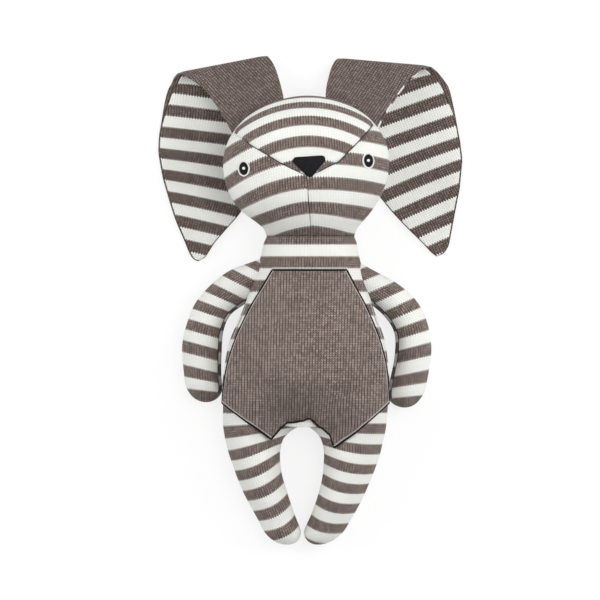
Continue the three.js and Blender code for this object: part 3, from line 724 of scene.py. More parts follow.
def makeLeg(name):
    own = leg[name]
    drop = roundedPlaces(leg["start"], leg["end"], leg["cap"], bodyCount=64, capCount=16)
    middle, half, low, high = legOval(own, drop)
    middles = np.stack([middle, -drop], 1)
    points = ovalRings(middles, np.tile([0.0, -1.0], (len(drop), 1)), half, low, high, columns=72)
    centre = np.stack([middle, -drop, (low + high) / 2], 1)[:, None]
    above = points[..., 2] - centre[..., 2]
    across = (points[..., 0] - centre[..., 0]) / half[:, None]
    points[..., 2] += np.maximum(above, 0) * (innerSag(own, drop[:, None], across) - 1)
    uneven = lumps(points + own["side"] * leg["lumpsShift"], *leg["lumps"])
    points += unit(points - centre) * uneven[..., None]
    points[..., 2] = np.maximum(points[..., 2], 0.0)
    turning = easeBetween(drop, leg["tiltFrom"], leg["tiltTo"])[:, None]
    aside = closedRows(points)[..., 0] - middle[:, None]
    share = 2 * aside / smoothThrough(own["widths"], drop)[:, None]
    inner = np.clip(-own["side"] * share, 0, 1) ** 3
    arch = leg["archLift"] * (1 - easeBetween(drop, *leg["archOver"]))
    lift = (leg["innerLift"] + arch)[:, None] * inner
    place = drop[:, None] + turning * (own["bow"] * share ** 2 - own["side"] * own["tilt"] * aside) + lift
    course = (place - own["firstBrown"]) / own["pair"] * pairCourses
    poles = ((0, centre[0, 0]), (-1, [middle[-1], -leg["end"], (low[-1] + high[-1]) / 2]))
    piece = tubePiece(f"{name}Leg", points, course, poles, stripedKnit)
    stuffed(piece, "striped_knit", 0.75, f"{name}_leg_cover", f"{name}_leg_filling")
    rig.blend(piece, "torso", f"{name}_leg", **bendBetween(leg["bendFrom"], leg["bendTo"]))


def frontHeight(x, drop):
    # the front of the belly and thighs as one soft surface: a smooth maximum of the three ovals
    heights = []
    for own in (None, leg["left"], leg["right"]):
        middle, half, low, high = legOval(own, drop) if own else (torsoMiddle(drop), *torsoOval(drop))
        across = np.clip((x - middle) / np.maximum(half, 1e-6), -1, 1)
        sag, sunk = 1, 0
        if own:  # the thighs come up under the panel only below the hips
            sag = innerSag(own, drop, across)
            sunk = leg["sunk"] * (1 - easeBetween(drop, *leg["sunkOver"]))
        heights.append((low + high) / 2 + (high - low) / 2 * np.sqrt(1 - across ** 2) * sag - sunk)
    sharp, level = leg["merge"], leg["mergeLevel"]
    return np.log(np.exp(sharp * (np.stack(heights) - level)).sum(0)) / sharp + level


# belly panel: from the chest to two tips on the thighs, with an arch between them
panel = {
    "top": 27.5,
    "halves": [(27.5, 29.3), (40, 36), (55, 44.6), (75, 53.7), (91, 59.5), (107, 63.5), (122, 65.2),
               (133, 65.8)],
    # the lower edge: how far from the middle, and how far down
    "lower": [(-65.8, 133.5), (-46.9, 147.7), (-35, 156.2), (-26.7, 162.6), (-24.2, 159.4), (-18.4, 152.6),
              (-14.5, 149.2), (-7.3, 148.9), (-1.3, 147.2), (2.0, 145.6), (4.6, 145.6), (10.1, 150.6),
              (15.6, 154.6), (21, 159.2), (22.6, 165), (24.7, 169.4), (40.7, 156.9), (52, 146.4),
              (65.8, 133.5)],
    "tips": (-26.7, 24.7),
    "edgeStand": 0.5,
    "stand": 1.2,  # how far the cloth stands off the striped cover away from its edges
    "edgeRoll": 2.4,
    "coursePitch": 1.85,
    "lumps": (0.2, 14),
    "wall": 1.2,
}


def makePanel():
    # across by a share of the half width, and down from the top edge to the lower edge
    rows, columns = 110, 181
    share = np.linspace(-1, 1, columns)[None, :]
    down = np.linspace(0, 1, rows)[:, None]
    lower = np.interp(share * panel["halves"][-1][1], *np.array(panel["lower"]).T)
    drop = panel["top"] + down * (lower - panel["top"])
    x = torsoMiddle(drop) + share * smoothThrough(panel["halves"], drop)
    points = np.stack([x, -drop, frontHeight(x, drop)], -1)
    across = runAcross(points, 0)
    fromSide = np.minimum(across, across[:, -1:] - across)
    downRun = runAcross(np.swapaxes(points, 0, 1), 0).T
    edge = np.minimum(fromSide, np.minimum(downRun, downRun[-1:] - downRun))
    normal = unit(np.cross(np.gradient(points, axis=0), np.gradient(points, axis=1)))
    swell = panel["stand"] * (1 - np.exp(-(edge / panel["edgeRoll"]) ** 2))
    points += normal * (panel["edgeStand"] + swell + lumps(points, *panel["lumps"]))[..., None]
    knit = np.stack([(x - torsoMiddle(drop)) / waleWidth, -drop / panel["coursePitch"]], -1)
    piece = gridPiece("bellyPanel", points, knit, taupeKnit, turned=True)
    thicken(piece, panel["wall"], -1)
    stuffed(piece, "taupe_knit", 0.7, "belly_panel")
    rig.ride(piece, "torso")
    return points, normal


# overlocked edges: a dark cord that paints the shadow in the groove along the seam, and a pale thread beside it, by
# radius. The pale one lies inwards, or outwards along the top.
welt = {
    "inset": 1.5, "lift": 0.3, "pitch": 2.6, "step": 0.8,
    "Top": {"inward": (0, 1, 0), "dark": 0.75, "pale": 0.8},
    "Left": {"inward": (-1, 0, 0), "dark": 0.85, "pale": 0.4},
    "Right": {"inward": (1, 0, 0), "dark": 0.85, "pale": 0.4},
    "LowerLeft": {"inward": (-0.4, 0.8, 0), "dark": 0.8, "pale": 0.65},
    "LowerRight": {"inward": (0.4, 0.8, 0), "dark": 0.8, "pale": 0.65},
    "Arch": {"inward": (0, 1, 0), "dark": 0.75, "pale": 0},
}


def makePanelWelts(points, normal):
    share = np.linspace(-1, 1, points.shape[1]) * panel["halves"][-1][1]
    rightTip, leftTip = [int(np.argmin(np.abs(share - tip))) for tip in panel["tips"]]
    edges = {
        "Top": (slice(0, 1), slice(None)),
        "Left": (slice(None), slice(-1, None)),
        "Right": (slice(None), slice(0, 1)),
        "LowerLeft": (slice(-1, None), slice(leftTip, None)),
        "LowerRight": (slice(-1, None), slice(0, rightTip + 1)),
        "Arch": (slice(-1, None), slice(rightTip, leftTip + 1)),
    }
    for name, (row, column) in edges.items():
        own = welt[name]
        path = points[row, column].reshape(-1, 3)
        ups = normal[row, column].reshape(-1, 3)
        both = evenPath(np.concatenate([path, ups], 1), welt["step"])
        path, ups = both[:, :3] + welt["lift"] * both[:, 3:], unit(both[:, 3:])
        # the dark cord is painted shadow in the groove along the edge
        cords = [cordPiece(f"weltShadeLine{name}", path, ups, own["dark"], creaseShadeThread, pitch=welt["pitch"])]
        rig.slot(cords[0], "black_thread")
        if own["pale"]:
            inward = np.array(own["inward"], float)
            slide = welt["inset"] * unit(inward - (ups @ inward)[:, None] * ups)
            cords.append(cordPiece(f"weltPale{name}", path + slide, ups, own["pale"], seamThread,
                                   pitch=welt["pitch"]))
            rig.slot(cords[1], "white_thread")
        for cord in cords:
            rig.ride(cord, "torso")


sideSeam = {"from": 54, "to": 131, "rise": 14, "thread": 0.5, "pitch": 1.8}


def makeSideSeams():
    # the seam down each side of the torso, a little above its widest line
    drop = np.linspace(sideSeam["from"], sideSeam["to"], 90)
    half, low, high = torsoOval(drop)
    rise = math.radians(sideSeam["rise"])
    for name, side in (("left", 1), ("right", -1)):
        x = torsoMiddle(drop) + side * half * math.cos(rise)
        z = (low + high) / 2 + (high - low) / 2 * math.sin(rise)
        path = np.stack([x, -drop, z], 1)
        ups = np.tile([side * math.cos(rise), 0, math.sin(rise)], (len(drop), 1))
        cord = cordPiece(f"{name}SideSeam", path, ups, sideSeam["thread"], seamThread,
                         pitch=sideSeam["pitch"])
        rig.ride(cord, "torso")
        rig.slot(cord, "white_thread")


torsoCover = makeTorso()
stuffed(torsoCover, "striped_knit", 0.8, "torso_cover", "torso_filling")
neckBend = bendBetween((0, -26, 0), (0, 32, 0))
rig.blend(torsoCover, "torso", "head", **neckBend)
makePanelWelts(*makePanel())
makeSideSeams()
for name in ("left", "right"):
    makeLeg(name)
print("torso, belly panel and legs made")


# arms: ovals along a path, each lying along a stripe, so that the stripes fan round the bend
arm = {
    "highs": [(0, 46), (22, 44), (48, 40), (84, 33), (200, 32.5)],
    "lows": [(0, 20), (22, 18), (42, 14), (80, -0.5), (200, -0.5)],
    "cap": 15,
    "shift": 0.09,
    "seamTurn": 0.58,  # the seam on the inner side, above the widest line
    "seamShift": 4,
    "seamFrom": 55,
    "seamShort": 8,  # the seam ends this far before the hand does
    "thread": 0.4,
    "threadPitch": 2.2,
    "lumps": (0.35, 12),
    "lumpsShift": 25,
    "handBrown": 4.3,  # rows of brown in which the hand ends
    "shoulder": (45.5, 40),  # where the arm joins the side: how far out and how far down
    "outward": (0.94, -0.34),
    "bend": (-3, 22),  # the cloth bends between these places along that line
    # the middle of each brown stripe: x, drop below the neck seam, slope of the stripe, half width
    "left": {"side": 1, "tip": (76.6, 137.3), "rows": [
        (14, 20, -0.36, 15), (34.4, 31.8, -0.39, 15), (56.5, 44.5, -0.44, 15), (71.8, 57.7, -0.465, 14.2),
        (80.3, 73.2, -0.34, 14), (82.1, 91.8, -0.245, 15), (78.9, 113.2, -0.19, 15.8),
        (76.1, 131.6, -0.08, 15)]},
    "right": {"side": -1, "tip": (-85.1, 133), "rows": [
        (-14, 21, 0.46, 16), (-32.5, 27.9, 0.5, 16), (-50.9, 35.1, 0.5, 16), (-66.4, 46.7, 0.486, 15.9),
        (-78, 58.1, 0.365, 14.8), (-84.3, 73, 0.29, 15), (-86.9, 90.2, 0.26, 16.1),
        (-86.5, 109.4, 0.23, 15.8), (-85, 126.3, 0.1, 15)]},
}


def makeArm(name):
    own = arm[name]
    side = own["side"]
    rows = np.array(own["rows"])
    pitch = np.linalg.norm(rows[-1, :2] - rows[-2, :2])
    last = len(rows) - 1 + np.linalg.norm(np.array(own["tip"]) - rows[-1, :2]) / pitch
    tipRow = np.array([[*own["tip"], rows[-1, 2], rows[-1, 3]]])
    index = np.append(np.arange(len(rows)), last) - 1  # the first row lies inside the torso
    fine = curveThrough(np.concatenate([np.concatenate([rows, tipRow]), index[:, None]], 1), count=600)
    run = runAlong(fine[:, :2])
    length = run[-1]
    along = roundedPlaces(0, length, arm["cap"], bodyCount=70, capCount=18)
    x, drop, slope, half, stripe = pathAt(fine, run, along).T
    close = closing(along, length, arm["cap"])
    headings = unit(np.stack([-slope, -np.ones_like(slope)], 1))
    low, high = smoothThrough(arm["lows"], along), smoothThrough(arm["highs"], along)
    height = (low + high) / 2
    up = (high - low) / 2 * close
    columns = 72
    middles = np.stack([x, -drop], 1)
    points = ovalRings(middles, headings, half * close, height - up, height + up, columns)
    centre = np.concatenate([middles, height[:, None]], 1)[:, None]
    points += unit(points - centre) * lumps(points + side * arm["lumpsShift"], *arm["lumps"])[..., None]
    points[..., 2] = np.maximum(points[..., 2], 0.0)
    brownEnd = (len(rows) - 2) * pairCourses + arm["handBrown"]
    course = np.repeat((stripe - arm["shift"])[:, None] * pairCourses + pairCourses / 4, columns + 1, axis=1)
    seamTurn = math.pi - arm["seamTurn"] if side > 0 else arm["seamTurn"]
    seamColumn = round((seamTurn / math.pi + 0.5) / 2 * columns)
    beyond = slice(seamColumn + 1, None) if side > 0 else slice(0, seamColumn)
    course[:, beyond] += arm["seamShift"]  # the stripes don't meet across the seam
    poles = ((0, centre[0, 0]), (-1, [own["tip"][0], -own["tip"][1], height[-1]]))
    piece = tubePiece(f"{name}Arm", points, np.minimum(course, brownEnd), poles, stripedKnit)
    stuffed(piece, "striped_knit", 0.75, f"{name}_arm_cover", f"{name}_arm_filling")
    out, down = arm["shoulder"]
    seam = np.array([torsoMiddle(down) + side * out, -down])
    outward = np.array(arm["outward"]) * (side, 1)
    bend = bendBetween(*[(*(seam + reach * outward), 0) for reach in arm["bend"]])
    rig.blend(piece, "torso", f"{name}_arm", **bend)
    # a dark cord along the arm's seam: painted shade in its crease
    seamRows = (along > arm["seamFrom"]) & (along < length - arm["seamShort"])
    both = evenPath(np.concatenate([points[seamRows, seamColumn], centre[seamRows, 0]], 1), step=2.0)
    path, ups = both[:, :3], unit(both[:, :3] - both[:, 3:])
    cord = cordPiece(f"{name}ArmSeamShade", path, ups, arm["thread"], creaseShadeThread, pitch=arm["threadPitch"])
    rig.slot(cord, "black_thread")
    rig.blend(cord, "torso", f"{name}_arm", **bend)


for name in ("left", "right"):
    makeArm(name)
print("arms made")


# head: a ball that draws in to the neck, in four panels
head = {
    "half": 66.8,
    "depth": 47.5,
    "middle": 56.8,
    "height": 47,
    "crown": 55.6,
    "jaw": 58,
    "tilt": 3.6,
    "tiltOver": 30,  # the tilt grows from the neck seam over this length
    "neckHalf": 36,
    "neckFront": 13,
    "neckBack": 43,
    "blend": 6,
    "seamDip": 1.0,
    "seamReach": 2.2,
    "crownTo": 0.997,  # the rows stop just short of the crown, where the panels meet
    "centreTo": 62,
    "lumps": (0.4, 17),
    "lumpsOver": (5, 30),
    "wall": 1.4,
}
# the forehead seam: distance from the middle of the face, and rise above the middle of the head
gusset = {
    "left": [(0, -9), (10, -6.5), (17, -3.4), (26, 0.6), (34, 7.4), (45.6, 18), (57.2, 30), (61.5, 34.3),
             (67, 38)],
    "right": [(0, -9), (9.6, -4), (20.7, 2.6), (31.4, 10.1), (44.5, 19.3), (59, 32), (67, 38)],
    # radii of the dark cords that paint the shade in the forehead and chin seams, and where the forehead one stops at
    # each side
    "thread": 0.28,
    "chinShadeRadius": 0.19,
    "chinFrom": 2,
    "pitch": 1.4,
    "shadeLineTo": {"left": 56, "right": 47},
}
# stripes: where a brown one has its middle, the pitch of a pair and how much the ends droop
foreheadStripes = {"arc": 51.5, "middle": 17.55, "pair": 18.05, "droop": 0.0063, "skew": 0.022}
leftCheekStripes = {"middle": -15.6, "pair": 20.8, "droop": 0.0024, "lift": 0.115}
rightCheekStripes = {"middle": -14.1, "pair": 22.0, "droop": 0.0046, "lift": 0.115}
chinLift = {"below": -17.5, "reach": 30}  # the stripes rise to the chin seam


def softMax(a, b):
    return (a ** head["blend"] + b ** head["blend"]) ** (1 / head["blend"])


def headOval(rise):
    # half width, lowest and highest point of the head at a rise above the neck seam
    above = rise - head["middle"]
    ball = np.sqrt(np.clip(1 - (above / np.where(above > 0, head["crown"], head["jaw"])) ** 2, 0, 1))
    neck = 1 - easeBetween(rise, 0, head["middle"])
    half = softMax(head["half"] * ball, head["neckHalf"] * neck)
    front = softMax(head["depth"] * ball, head["neckFront"] * neck)
    back = softMax(head["depth"] * ball, head["neckBack"] * neck)
    return half, head["height"] - back, head["height"] + front


def tipped(across, rise, z):
    # the head tips to one side, by an angle that grows from none at the neck seam
    angle = math.radians(head["tilt"]) * easeBetween(rise, 0, head["tiltOver"])
    x = across * np.cos(angle) - rise * np.sin(angle)
    y = rise * np.cos(angle) + across * np.sin(angle)
    return np.stack(np.broadcast_arrays(x, y, z), -1)


def headAt(angle, rise):
    # a point of the head: angle 0 is its left side and a quarter turn is the front
    half, low, high = headOval(rise)
    return half * np.cos(angle), (low + high) / 2 + (high - low) / 2 * np.sin(angle)


def headArc(angle, rise):
    # distance round the oval at one rise, from the middle of the front: the sum of short steps
    half, low, high = headOval(rise)
    steps = 24
    share = (np.arange(steps) + 0.5) / steps
    turn = math.pi / 2 + (angle - math.pi / 2)[..., None] * share
    speed = np.sqrt((half[..., None] * np.sin(turn)) ** 2 + ((high - low)[..., None] / 2 * np.cos(turn)) ** 2)
    return speed.mean(-1) * (math.pi / 2 - angle)


def gussetRise(angle):
    # the rise at which the forehead seam crosses a line of constant angle, by repeated guesses
    rise = np.full_like(angle, head["middle"])
    for _ in range(60):
        across = headOval(rise)[0] * np.cos(angle)
        left, right = smoothThrough(gusset["left"], across), smoothThrough(gusset["right"], -across)
        rise = 0.6 * rise + 0.4 * (head["middle"] + np.where(across > 0, left, right))
    return rise


def headFront(across, rise):
    # height of the front of the head over a place on the face
    half, low, high = headOval(rise)
    return (low + high) / 2 + (high - low) / 2 * np.sqrt(np.clip(1 - (across / half) ** 2, 0, 1))


def stripeCourses(style, place):
    # courses counted from where a brown stripe starts, a quarter of a pair before its middle
    return (place - style["middle"]) / style["pair"] * pairCourses + pairCourses / 4


def foreheadCourses(across, rise, z):
    # distance up to the crown on planes of constant x, with ends that droop
    style = foreheadStripes
    above = rise - head["middle"]
    narrow = np.sqrt(np.clip(1 - (across / head["half"]) ** 2, 0.02, 1))
    turn = np.arctan2(above / head["crown"], (z - head["height"]) / head["depth"])
    turn = np.where(turn < -1, turn + 2 * math.pi, turn)  # counts on over the crown and down the back,
    turn = np.where(turn > math.pi / 2, math.pi - turn, turn)  # which mirrors the face
    place = style["arc"] * narrow * turn + style["droop"] * across ** 2 + style["skew"] * across
    return stripeCourses(style, place)


def cheekCourses(style):
    def courses(across, rise, z):
        # distance up the cheek, with stripes that droop towards the side
        above = rise - head["middle"]
        lift = style["lift"] * np.maximum(0, chinLift["below"] - above)
        chin = lift * np.maximum(0, 1 - np.abs(across) / chinLift["reach"])
        return stripeCourses(style, above + style["droop"] * across ** 2 - chin)
    return courses


def headPanel(name, node, angles, lowRise, highRise, courses):
    # one panel: columns of constant angle, rows from its lower to its upper edge
    t = np.linspace(0, 1, 60)[:, None]
    if highRise is None:  # up to the crown, crowded where it rounds over
        shift = np.arcsin(np.clip((lowRise - head["middle"]) / head["crown"], -1, 1))
        turn = shift + t * (math.pi / 2 * head["crownTo"] - shift)
        rise = head["middle"] + head["crown"] * np.sin(turn)
    else:
        rise = lowRise + t * (highRise - lowRise)
    angle = np.broadcast_to(angles[None, :], rise.shape)
    across, z = headAt(angle, rise)
    points = tipped(across, rise, z)
    run = runAcross(points, 0)
    fromSide = np.minimum(run, run[:, -1:] - run)
    climb = runAcross(np.swapaxes(points, 0, 1), 0).T
    edge = np.minimum(fromSide, climb)
    if highRise is not None:  # sewn along its upper edge too
        edge = np.minimum(edge, climb[-1:] - climb)
    centre = tipped(np.zeros_like(rise), rise, np.full_like(rise, head["height"]))
    centre[..., 1] = np.minimum(points[..., 1], head["centreTo"])
    dip = head["seamDip"] * np.exp(-(edge / head["seamReach"]) ** 2)
    uneven = lumps(points, *head["lumps"]) * easeBetween(rise, *head["lumpsOver"])
    points = points + unit(points - centre) * (uneven - dip)[..., None]
    points[..., 2] = np.maximum(points[..., 2], 0.0)
    if highRise is None:  # ribs on planes of constant x
        wales = head["half"] * np.arcsin(np.clip(across / head["half"], -1, 1))
    else:
        wales = headArc(angle, rise)
    knit = np.stack([wales / waleWidth, courses(across, rise, z)], -1)
    piece = gridPiece(name, points, knit, stripedKnit)
    thicken(piece, head["wall"], -1)
    stuffed(piece, "striped_knit", 0.85, node)
    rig.blend(piece, "torso", "head", **neckBend)
    return piece


def creaseShadeLine(name, angles, rise, thread):
    # a dark cord in the crease between two panels: painted shade where the seam sinks in
    across, z = headAt(angles, rise)
    path = evenPath(tipped(across, rise, z), step=1.0)
    ups = unit(path - tipped(0, head["middle"], head["height"]))
    path = path - ups * (head["seamDip"] - thread)
    cord = cordPiece(name, path, ups, thread, creaseShadeThread, pitch=gusset["pitch"])
    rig.slot(cord, "black_thread")
    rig.blend(cord, "torso", "head", **neckBend)


def makeHead():
    columns = 72
    whole = np.linspace(math.pi, 0, 2 * columns + 1)
    seam = gussetRise(whole)
    headPanel("headForehead", "head_forehead_panel", whole, seam[None, :], None, foreheadCourses)
    rightSide, leftSide = whole[:columns + 1], whole[columns:]
    flat = np.zeros((1, columns + 1))
    headPanel("headRightCheek", "head_right_cheek_panel", rightSide, flat, gussetRise(rightSide)[None, :],
              cheekCourses(rightCheekStripes))
    headPanel("headLeftCheek", "head_left_cheek_panel", leftSide, flat, gussetRise(leftSide)[None, :],
              cheekCourses(leftCheekStripes))
    behind = np.linspace(2 * math.pi, math.pi, 2 * columns + 1)
    low = np.zeros((1, 2 * columns + 1))
    back = headPanel("headBack", "head_back_panel", behind, low, None, foreheadCourses)
    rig.replaces(back, "head_filling")
    across = headAt(whole, seam)[0]
    shown = (across < gusset["shadeLineTo"]["left"]) & (across > -gusset["shadeLineTo"]["right"])
    creaseShadeLine("gussetSeamShade", whole[shown], seam[shown], gusset["thread"])
    chin = np.linspace(gusset["chinFrom"], float(seam[columns]), 40)
    creaseShadeLine("chinSeamShade", np.full_like(chin, math.pi / 2), chin, gusset["chinShadeRadius"])
    print("head made, its seam meets the side at", round(float(seam[0]), 1), "mm")


makeHead()


# nose: a stitched pad, a triangle with rounded corners and its tip down
nose = {
    "width": 26, "height": 17, "top": 6.4, "shift": 2.6, "round": 3, "thick": 2.2, "lift": 0.2,
    "centre": 0.5,  # the rows of the pad close in on this rise
}
eye = {
    "spread": 49.8, "rise": 0, "pupil": (7.0, 10.2), "pupilThick": 1.0, "pupilLift": 0.2,
    "ring": (8.5, 11.7), "ringLift": 0.35, "thread": 0.65, "threadPitch": 0.9,
    "spot": (2.5, 2.5), "spotShift": (0.0, 0.2), "spotThick": 1.0, "spotLift": 0.9,
}
# how all stitched pads are domed
pad = {"rows": 14, "from": 0.08, "flatness": 5, "under": -1.0, "strand": 0.7}


def facePad(name, outline, middle, thick, lift, material, slotName, node):
    # a domed pad on the face: the outline scaled by a share, thick in the middle and rolled under at its edge
    share = np.sin(np.linspace(pad["from"], 1, pad["rows"]) * math.pi / 2)[:, None]
    across = middle[0] + share * (outline[:, 0] - middle[0])
    rise = middle[1] + share * (outline[:, 1] - middle[1]) + head["middle"]
    rise = np.concatenate([rise, rise[-1:]])
    across = np.concatenate([across, across[-1:]])
    dome = np.sqrt(1 - np.clip(share, 0, 0.999) ** pad["flatness"])
    above = np.concatenate([lift + thick * dome, [[pad["under"]]]])
    points = tipped(across, rise, headFront(across, rise) + above)
    local = np.stack([rise, across], -1)  # strands lie side by side across the pad
    knit = closedRows(local) / pad["strand"]
    top = np.array([middle[0], middle[1] + head["middle"]])
    tip = tipped(top[0], top[1], headFront(top[0], top[1]) + lift + thick)
    piece = gridPiece(name, points[::-1], knit[::-1], material, wrap=True, poles=((-1, tip),))
    stuffed(piece, slotName, 0.9, node)
    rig.ride(piece, "head")


def roundedTriangle(count):
    # arcs at the two upper corners and the tip, joined by straight sides, at even distances
    half, top = nose["width"] / 2 - nose["round"], nose["top"] - nose["round"]
    tip = nose["top"] - nose["height"] + nose["round"]
    slant = math.atan2(half, top - tip)
    spans = [(half, top, -slant, math.pi / 2), (-half, top, math.pi / 2, math.pi + slant),
             (0, tip, math.pi + slant, 2 * math.pi - slant)]
    arcs = []
    for x, rise, first, last in spans:
        turn = np.linspace(first, last, 16)
        arc = nose["round"] * np.stack([np.cos(turn), np.sin(turn)], 1)
        arcs.append(arc + (nose["shift"] + x, rise))
    path = np.concatenate(arcs + [arcs[0][:1]])
    run = runAlong(path)
    return pathAt(path, run, np.linspace(0, run[-1], count, endpoint=False))


def ovalOutline(middle, size, count):
    turn = np.linspace(0, 2 * math.pi, count, endpoint=False)
    return np.stack([middle[0] + size[0] / 2 * np.cos(turn), middle[1] + size[1] / 2 * np.sin(turn)], 1)


def makeFace():
    facePad("nosePad", roundedTriangle(96), (nose["shift"], nose["centre"]), nose["thick"], nose["lift"],
            blackThread, "black_thread", "nose")
    for name, side in (("left", 1), ("right", -1)):
        middle = (side * eye["spread"], eye["rise"])
        facePad(f"{name}EyePupil", ovalOutline(middle, eye["pupil"], 48), middle, eye["pupilThick"],
                eye["pupilLift"], blackThread, "black_thread", f"{name}_eye_pupil")
        spot = (middle[0] + eye["spotShift"][0], middle[1] + eye["spotShift"][1])
        facePad(f"{name}EyeHighlight", ovalOutline(spot, eye["spot"], 32), spot, eye["spotThick"],
                eye["spotLift"], whiteThread, "white_thread", f"{name}_eye_highlight")
        ring = ovalOutline(middle, eye["ring"], 64)
        rise = ring[:, 1] + head["middle"]
        path = tipped(ring[:, 0], rise, headFront(ring[:, 0], rise) + eye["ringLift"])
        ups = unit(path - tipped(0, head["middle"], head["height"]))
        cord = cordPiece(f"{name}EyeRing", path, ups, eye["thread"], whiteThread, closed=True,
                         pitch=eye["threadPitch"])
        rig.replaces(cord, f"{name}_eye_ring")
        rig.slot(cord, "white_thread")
        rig.ride(cord, "head")


makeFace()
print("face made")


# ears: a flat leaf of two layers, rolled over backwards near its root.
# A place on the leaf is a distance past the roll and a distance along the roll.
earLeaf = {
    "roll": 4,  # radius of the roll at its inner end
    "rollFlare": 8,
    "flareOver": (-5, 45),
    "flareFade": (5, 60),
    "slope": 32,
    "middle": 1.95,  # height between the two layers where the leaf lies flat
    "lowest": 0.75,
    "gap": 0.97,
    "thick": 1.4,
    "edgePull": 0.55,
    "edgeReach": 3.0,
    "tuck": 1.4,  # how far the lining stays back from the edge
    "tuckMost": 0.3,
    "rootTuckOver": (-16, -10),
    "cornerFrom": (-8, 4),
    "cornerTo": (12, 44),
    "sway": 0.8,
    "swayLengths": (19, 27),
    "swayOver": (20, 60),
    "turnOver": (20, 130),  # the lining's stripes turn along the leaf
    "closeRows": (-26, 28),  # round the roll
    "rows": (33, 69, 90),
    "bendFrom": (0, 84, 42.8),  # the root runs down the back of the head,
    "bendTo": (0, 87.5, 25.5),  # and all that lies lower swings with the ear
}
ears = {
    "left": {
        "side": 1, "foldOut": 55.2, "foldRise": 140.3, "foldTurn": 5, "firstBrown": 4.2, "pair": 18.3,
        "stripeTurns": (22.6, 29.2), "ribTurn": 26, "rootTuck": -1.3, "cornerTuck": 5.0,
        "outer": [(-75, 0), (-55, 5.6), (-39.5, 12.4), (-25, 20.4), (-19.5, 24.2), (-13.3, 31.5), (-8, 35.5),
                  (-3, 39.5), (4, 45.3), (11, 51.7), (17, 57), (31, 62.3), (49, 67.7), (62, 71.2), (75, 73.3),
                  (93, 73.2), (108, 71.8), (126, 70), (141, 68.4), (146.5, 66), (150, 62.4), (151.1, 59.6)],
        "inner": [(-75, -33), (-58, -38.5), (-34, -40.6), (-15, -38.6), (-6, -36), (0, -32.5), (20, -31.5),
                  (45, -30), (70, -22), (90, -8), (107, 9.2), (119, 21), (131, 34.4), (142, 47.8),
                  (149, 55.6), (151.1, 59.3)],
    },
    "right": {
        "side": -1, "foldOut": 70.5, "foldRise": 138.4, "foldTurn": 11, "firstBrown": 1.8, "pair": 17.68,
        "stripeTurns": (15.8, 24), "ribTurn": 30, "rootTuck": 1.4, "cornerTuck": 3.6,
        "outer": [(-80, 0), (-60, 4.9), (-45, 9.5), (-30, 14.6), (-22, 19), (-16.5, 24.2), (-12.5, 28.6),
                  (-8.9, 31.8), (-3, 35.4), (4, 39.8), (10, 43.5), (14, 47), (23, 51.6), (36, 56.8),
                  (48, 61.4), (62, 64.3), (78, 64.6), (93, 63.5), (112, 61.5), (134, 57), (144.5, 54.8),
                  (149, 52.6), (150.9, 49.8)],
        "inner": [(-80, -33), (-65, -38), (-43, -42.8), (-19, -41.4), (-8, -39), (0, -35.5), (8, -34),
                  (30, -33), (60, -27), (80, -19), (100, -7), (119, 8.5), (132, 24.7), (139.5, 34),
                  (145.6, 39.8), (149.8, 44.6), (150.9, 49.4)],
    },
}


def earPoints(own, layer, tuck):
    # the leaf bends over a roll whose radius grows to the outer end, and layer is its side of the middle
    ends = [own["outer"][0][0], *earLeaf["closeRows"], own["outer"][-1][0] - 0.5 * tuck]
    past = np.concatenate([np.linspace(start, end, count, endpoint=end == ends[-1])
                           for start, end, count in zip(ends, ends[1:], earLeaf["rows"])])
    inner, outer = smoothThrough(own["inner"], past), smoothThrough(own["outer"], past)
    pull = np.minimum(tuck, (outer - inner) * earLeaf["tuckMost"])
    outerPull = pull
    if layer < 0:
        corner = easeBetween(past, *earLeaf["cornerFrom"]) * (1 - easeBetween(past, *earLeaf["cornerTo"]))
        outerPull = own["rootTuck"] + (pull - own["rootTuck"]) * easeBetween(past, *earLeaf["rootTuckOver"])
        outerPull = outerPull + own["cornerTuck"] * corner
    share = (1 - np.cos(np.linspace(0, math.pi, 48))) / 2
    across = (inner + pull)[:, None] + (outer - inner - pull - outerPull)[:, None] * share
    past = past[:, None]
    near = 1 - easeBetween(np.abs(past), *earLeaf["flareFade"])
    radius = earLeaf["roll"] + earLeaf["rollFlare"] * easeBetween(across, *earLeaf["flareOver"]) * near
    slope = math.radians(earLeaf["slope"])
    halfRoll = (math.pi - slope) / 2 * radius
    rolled = np.clip(past + halfRoll, 0, 2 * halfRoll)
    angle = math.pi / 2 - slope - rolled / radius
    fromEdge = np.minimum(across - inner[:, None], outer[:, None] - across)
    stand = 1 - earLeaf["edgePull"] * np.exp(-(fromEdge / earLeaf["edgeReach"]) ** 2)
    offset = layer * earLeaf["gap"] * stand
    before, after = np.minimum(0, past + halfRoll), np.maximum(0, past - halfRoll)
    middle = radius + earLeaf["middle"]
    out = (radius + offset) * np.cos(angle) + before * math.cos(slope) - after - middle
    up = middle + (radius + offset) * np.sin(angle) - before * math.sin(slope)
    turn = math.radians(own["foldTurn"])
    side = own["side"]
    x = side * own["foldOut"] + side * math.sin(turn) * out + side * math.cos(turn) * across
    y = own["foldRise"] + math.cos(turn) * out - math.sin(turn) * across
    wave = 1 + np.sin(past / earLeaf["swayLengths"][0] + across / earLeaf["swayLengths"][1])
    up = up + earLeaf["sway"] * wave * easeBetween(past, *earLeaf["swayOver"])
    points = np.stack([x, y, np.maximum(up, earLeaf["lowest"])], -1)
    if layer > 0:  # ribs of the plain layer
        lie = np.radians(np.full_like(past, own["ribTurn"]))
    else:
        first, last = own["stripeTurns"]
        lie = np.radians(first + (last - first) * easeBetween(past, *earLeaf["turnOver"]))
    return points, past * np.cos(lie) + across * np.sin(lie), across * np.cos(lie) - past * np.sin(lie)


